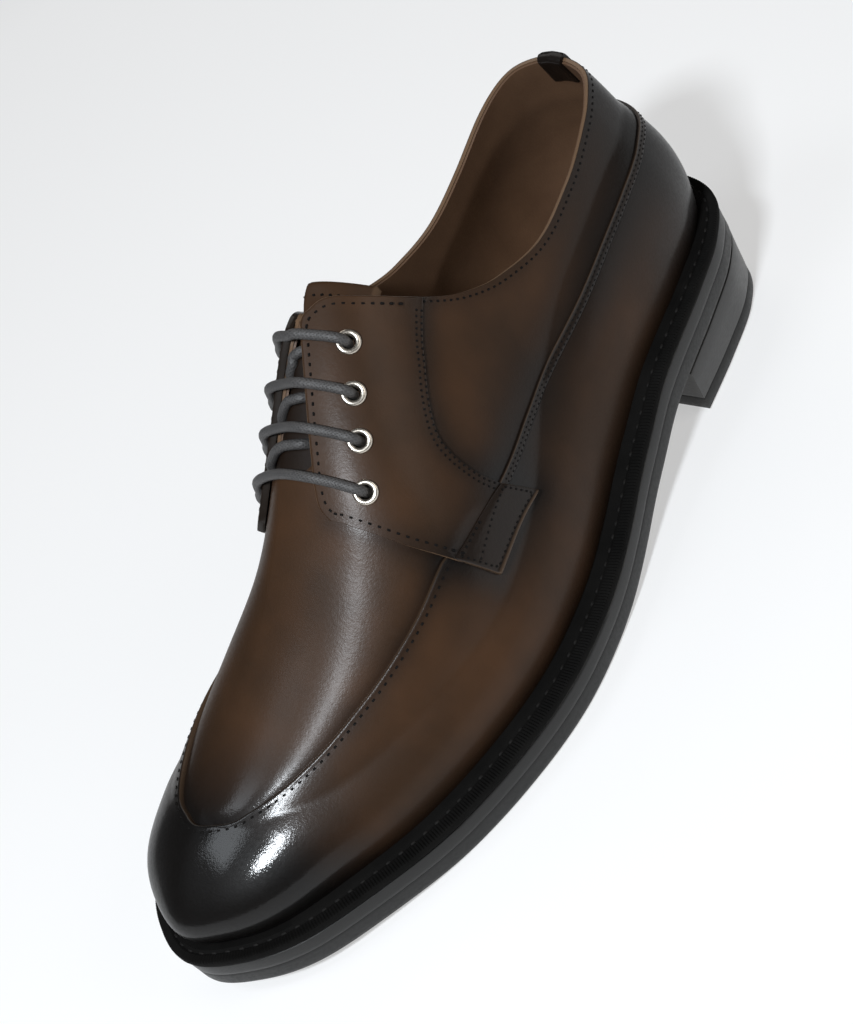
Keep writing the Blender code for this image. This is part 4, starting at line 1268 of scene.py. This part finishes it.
def stitchRun(name, path, ups, pitch, finish, slot, share=stitchForm["share"], radius=stitchForm["radius"],
              sink=stitchForm["sink"]):
    both = resample(np.hstack([path, ups]), pitch)
    both = (both[:-1] + both[1:]) / 2
    spots, ups = both[:, :3], unit(both[:, 3:])
    way = np.gradient(spots, axis=0)
    way = unit(way - ups * (way * ups).sum(1)[:, None])
    side = np.cross(ups, way)
    sides, rings = stitchForm["sides"], stitchForm["rings"]
    shape = []
    for x, r, drop in rings:
        for a in np.linspace(0, 2 * math.pi, sides, endpoint=False):
            height = math.sin(a) * r * radius - drop * radius - sink
            shape.append((x * pitch * share, math.cos(a) * r * radius, height))
    one = tubeFaces(len(rings), sides)
    points, faces = [], []
    for p, u, w, s in zip(spots, ups, way, side):
        first = len(points)
        points += [p + w * x + s * y + u * z for x, y, z in shape]
        faces += [tuple(first + k for k in face) for face in one]
    addPiece(name, points, faces, finish, (), None, 60)


def insetPath(points, ups, distance):   # a path moved sideways on the leather
    return points + unit(np.cross(ups, np.gradient(points, axis=0))) * distance


def facingStitches(word, side):
    low, high = facingEdges[side]
    first, second = facingForm["lowShares"]
    outline = np.vstack([high(np.linspace(0.02, 0.999, 160)), low(np.linspace(0.998, second, 60))])
    path, ups = mapWay(side, outline, facingForm["lift"])
    path = insetPath(path, ups, -side * facingForm["stitchInset"])
    stitchRun(f"stitchesFacingEdge{word}", path, ups, facingForm["pitch"], darkThread, "leather")
    for number, inset in enumerate(facingForm["seamRows"], 1):
        path, ups = mapWay(side, low(np.linspace(0.02, first, 120)), 0.0)
        path = insetPath(path, ups, side * inset) + unit(ups) * float(facingLift(inset))
        stitchRun(f"stitchesSeam{word}{number}", path, ups, facingForm["seamPitch"], darkThread, "leather")


def tabStitches(word, side):
    for row, ends in tabForm["rows"].items():
        shares = [ends[0]]
        for (a, b), (c, d) in zip(ends, ends[1:]):
            shares += [(a + (c - a) * k, b + (d - b) * k) for k in np.linspace(0, 1, 16)[1:]]
        path, ups = mapWay(side, tabPlaces(shares, side), tabForm["lift"])
        stitchRun(f"stitchesTab{row}{word}", path, ups, tabForm["pitch"], darkThread, "leather")


def makeStitches():
    for word, side in sideWords:
        facingStitches(word.title(), side)
        tabStitches(word.title(), side)
    inset, pitch = stitchForm["apron"]
    stations = stationRun((stitchForm["apronFrom"], toeFan, stationEnd), (60, 40))
    ring = [(s, outer) for s in stations] + [(s, inner) for s in stations[-2::-1]]
    places = [(s, side, apronArc(s, side) - inset) for s, side in ring]
    stitchRun("stitchesApron", *skinWay(places, stitchForm["lift"]), pitch, darkThread, "leather")
    inset, pitch = stitchForm["topline"]
    ring = roundHeel(stationRun((0, heelFan, stitchForm["toplineTo"]), (30, 50)))
    places = [(s, side, rimArc(s, side) - inset) for s, side in ring]
    stitchRun("stitchesTopline", *skinWay(places, stitchForm["lift"]), pitch, darkThread, "leather")
    stations = stationRun((0, heelFan, strapEnd - 3), (40, 90))
    for number, inset in enumerate(strapForm["rows"], 1):
        path, ups = skinWay(strapWay(stations, strapForm["lip"] + inset), strapForm["stitchLift"])
        stitchRun(f"stitchesStrap{number}", path, ups, strapForm["pitch"], darkThread, "leather",
                  radius=strapForm["thread"])
    share = tongueForm["stitchInset"] / (tongueForm["last"] - tongueForm["top"])
    wide = np.linspace(-0.92, 0.92, 60)
    path, above = (np.array([tonguePoint(share, w, drop) for w in wide]) for drop in (-0.03, -1.03))
    stitchRun("stitchesTongue", path, above - path, tongueForm["stitchPitch"], darkThread, "leather")


makeStitches()
print("stitches sewn")


# Sole
weltForm = {
    "ribPitch": 1.0, "ribDepth": 0.5, "rib": (0.0, 0.55, 1.0, 0.55), "nominal": 9.0,
    "stitchAt": 0.52, "stitchPitch": 4.6, "stitchShare": 0.42, "stitchDrop": 0.35,
}
fineWelt = resample(weltLoop, 0.8, True)


def sidesOf(loop):   # where a loop starts and ends, and its x on both sides as functions of t
    start, end = loop[:, 1].argmin(), loop[:, 1].argmax()
    if start > end:
        loop = np.roll(loop, -start, axis=0)
        start, end = 0, loop[:, 1].argmax()
    lateral = loop[start:end + 1]
    medial = np.vstack([loop[end:], loop[:start + 1]])[::-1]

    def across(half):
        return lambda t: np.interp(t, half[:, 1], half[:, 0])

    return loop[start, 1], loop[end, 1], across(lateral), across(medial)


def levelLoop(inset, height, front=None, steps=soleForm["steps"], loop=fineWelt):
    # one loop round a plate, cut off at front, with height as a function of t
    back, toe, lateral, medial = sidesOf(grown(loop, -inset))
    turn = math.pi if front is None else math.pi / 2
    run = (toe - back) / 2 if front is None else front - back
    t = back + run * (1 - np.cos(np.linspace(0, turn, steps + 1)))
    z = np.array([float(height(v)) for v in t])
    return np.vstack([np.column_stack([lateral(t), t, z]), np.column_stack([medial(t), t, z])[::-1]])


def platePiece(name, loops, finish, replaced, across=10):
    count = len(loops[0])
    points = [p for loop in loops for p in loop]
    faces = gridFaces(len(loops), count, 0, False, True)
    for first in (0, (len(loops) - 1) * count):
        # strips across the plate, from the outer side to the inner side
        grid = []
        for i in range(count // 2):
            a, b = first + i, first + count - 1 - i
            row = [a]
            for share in np.linspace(0, 1, across + 1)[1:-1]:
                points.append(points[a] * (1 - share) + points[b] * share)
                row.append(len(points) - 1)
            grid.append(row + [b])
        for a, b in zip(grid, grid[1:]):
            faces += [(a[k], b[k], b[k + 1], a[k + 1]) for k in range(across)]
    addPiece(name, np.array(points), faces, finish, replaced, None, 35)


def raised(height):   # a height over the underside
    return lambda t: float(underside(t)) + height


def level(height):
    return lambda t: height


def makeWelt():
    top = soleForm["edge"]
    low = -soleForm["weltThick"]
    run = np.linalg.norm(weltLoop - np.roll(weltLoop, 1, axis=0), axis=1).sum()
    sections = len(weltForm["rib"])
    count = int(round(run / weltForm["ribPitch"])) * sections
    line = resample(weltLoop, run / count, True)[:count]
    way = loopNormals(line)
    rib = np.tile(weltForm["rib"], count // sections)
    wide = weltWidth(line[:, 1]) / weltForm["nominal"]
    # inset, height, share of the rib's depth: outer edge, ribbed band, stitch groove, flat under the upper
    profile = [
        (0.9, low, 0), (0.25, low + 0.6, 0), (0.0, low + 1.3, 0), (0.0, -1.1, 0.0), (0.10, -0.5, 0.5),
        (0.55, -0.08, 0.9), (1.2, 0.05, 1.0), (2.6, 0.05, 1.0), (3.5, 0.0, 0.6), (3.9, -0.25, 0.0),
        (4.7, -0.55, 0.0), (5.5, -0.30, 0.0), (6.1, -0.02, 0.0),
    ]
    loops = []
    for inset, height, share in profile:
        p = line - way * (inset * wide + 0.18 * share * rib * (inset < 0.6))[:, None]
        z = underside(p[:, 1]) + top + height - weltForm["ribDepth"] * share * rib
        loops.append(np.column_stack([p, z]))
    for height in (0.0, low):
        p = line - way * (weltWidth(line[:, 1]) + soleForm["weltLap"])[:, None]
        loops.append(np.column_stack([p, underside(p[:, 1]) + top + height]))
    faces = gridFaces(len(loops), count, 0, True, True)
    addPiece("weltRibbed", np.vstack(loops), faces, weltLeather, ["welt"], None, 30)
    row = resample(weltLoop, 1.0, True)
    p = row - loopNormals(row) * (weltForm["stitchAt"] * weltWidth(row[:, 1]))[:, None]
    path = np.column_stack([p, underside(p[:, 1]) + top - weltForm["stitchDrop"]])
    path = np.vstack([path, path[:1]])
    ups = np.tile([0.0, 0.0, 1.0], (len(path), 1))
    stitchRun("stitchesWelt", path, ups, weltForm["stitchPitch"], greyThread, "lace",
              weltForm["stitchShare"], sink=0.0)


def makeSole():   # each plate is a list of insets and heights, from its underside to its top
    gap, edge, lift = soleForm["gap"], soleForm["edge"], soleForm["liftThick"]
    outTop = edge - soleForm["weltThick"] - soleForm["midThick"] - 2 * gap
    midLow, midTop = outTop + gap, outTop + gap + soleForm["midThick"]
    rows = [
        (1.5, midLow - 0.16), (0.95, midLow - 0.14), (0.85, midLow + 0.05), (0.78, midLow + 1.2),
        (0.75, midTop - 1.2), (0.85, midTop - 0.4), (1.3, midTop + 0.1), (1.7, midTop + 0.25),
    ]
    platePiece("midsoleEdge", [levelLoop(i, raised(h)) for i, h in rows], edgeWax, ["midsole"])
    rows = [
        (3.0, 0.0), (2.2, 0.05), (1.6, 0.35), (1.25, 0.9), (1.0, 2.2),
        (0.92, outTop - 1.2), (0.90, outTop - 0.1), (0.98, outTop + 0.10), (1.5, outTop + 0.13),
    ]
    platePiece("outsoleTread", [levelLoop(i, raised(h)) for i, h in rows], soleRubber, ["outsole"])

    def heelLoops(rows):   # inset, height, how far the front is set back
        return [levelLoop(inset, height, soleForm["heelBreast"] - back, 60) for inset, height, back in rows]

    def between(share):   # heights from the lift's top to the heel seat
        return lambda t: (lift + gap) * (1 - share) + (float(underside(t)) - gap) * share

    taper = soleForm["heelTaper"]
    stack = [
        (taper + 1.9, level(lift + gap - 0.25), 0.6), (taper + 1.45, level(lift + gap + 0.2), 0.1),
        (1.4 + taper * 0.9, between(0.1), 0.0), (1.4 + taper * 0.45, between(0.55), 0.0),
        (1.35, raised(-gap - 0.8), 0.0), (1.5, raised(-gap - 0.1), 0.0), (2.0, raised(0.25 - gap), 0.4),
    ]
    platePiece("heelStackEdge", heelLoops(stack), heelWax, ["heel_stack"])
    floorLift = [
        (taper + 3.2, level(0.0), 0.9), (taper + 2.4, level(0.12), 0.4), (taper + 1.8, level(0.7), 0.1),
        (taper + 1.55, level(2.0), 0.0), (taper + 1.5, level(lift - 0.4), 0.0),
        (taper + 1.8, level(lift + 0.15), 0.2),
    ]
    platePiece("heelLiftRubber", heelLoops(floorLift), soleRubber, ["heel_lift"])
    bed = grown(resample(featherLoop, 0.8, True), -(soleForm["weltLap"] - 1.6))
    rise = edge + soleForm["insoleRise"]
    rows = [
        (1.2, edge - 3.5), (1.2, rise - 1.0), (1.4, rise - 0.3),
        (2.2, rise), (5.0, rise - 0.1), (9.0, rise - 0.25),
    ]
    loops = [levelLoop(i, raised(h), None, 110, bed) for i, h in rows]
    platePiece("insoleBed", loops, bedLeather, ["insole"])


makeWelt()
makeSole()
print("sole and heel made")


# Stage
# the floor's glow falls off away from the shoe
floorLook = {"tone": 0.45, "glow": (0.495, 0.05), "fade": (0.55, 1.60)}
lampLook = {
    # spot, size, watts, colour
    "frontWindow": ((0.40, -0.62, 0.98), (0.17, 0.13), 14.5, (0.90, 0.95, 1.0)),
    "sideWindow": ((-0.26, -0.52, 1.05), (0.40, 0.30), 2.4, (0.88, 0.94, 1.0)),
    "roomGlow": ((0.95, 0.45, 0.70), (0.6, 0.6), 3.0, (1.0, 0.97, 0.93)),
    "backGlow": ((-0.70, 0.60, 0.90), (0.8, 0.6), 2.0, (1.0, 0.97, 0.93)),
}
skyLook = {"Color": (0.95, 0.97, 1.0, 1.0), "Strength": 0.04}


def addFloor():
    bpy.ops.object.select_all(action="DESELECT")
    bpy.ops.mesh.primitive_plane_add(size=6.0)
    floor = bpy.context.object
    floor.name = "floor"
    finish, tree, shader = newFinish("paleFloor")
    far = tree.nodes.new("ShaderNodeVectorMath")
    far.operation = "LENGTH"
    tree.links.new(objectCoords(tree), far.inputs[0])
    glow = rangeNode(tree, far.outputs["Value"], *floorLook["fade"], *floorLook["glow"])
    tree.links.new(glow, shader.inputs["Emission Strength"])
    tone = floorLook["tone"]
    shader.inputs["Base Color"].default_value = (tone, tone, tone, 1.0)
    shader.inputs["Roughness"].default_value = 0.6
    shader.inputs["Emission Color"].default_value = (1.0, 1.0, 1.0, 1.0)
    floor.data.materials.append(finish)


def addLamp(name, spot, size, power, colour):
    bpy.ops.object.light_add(type="AREA")
    lamp = bpy.context.object
    lamp.name = name
    lamp.location = spot
    lamp.rotation_euler = (Vector((0.0, 0.0, 0.05)) - Vector(spot)).to_track_quat("-Z", "Y").to_euler()
    lamp.data.shape = "RECTANGLE"
    lamp.data.size, lamp.data.size_y = size
    lamp.data.energy = power
    lamp.data.color = colour


def lightScene():
    addFloor()
    for name, look in lampLook.items():
        addLamp(name, *look)
    sky = bpy.data.worlds.new("room")
    scene.world = sky
    sky.use_nodes = True
    for socket, value in skyLook.items():
        sky.node_tree.nodes["Background"].inputs[socket].default_value = value


lightScene()
print("scene ready")
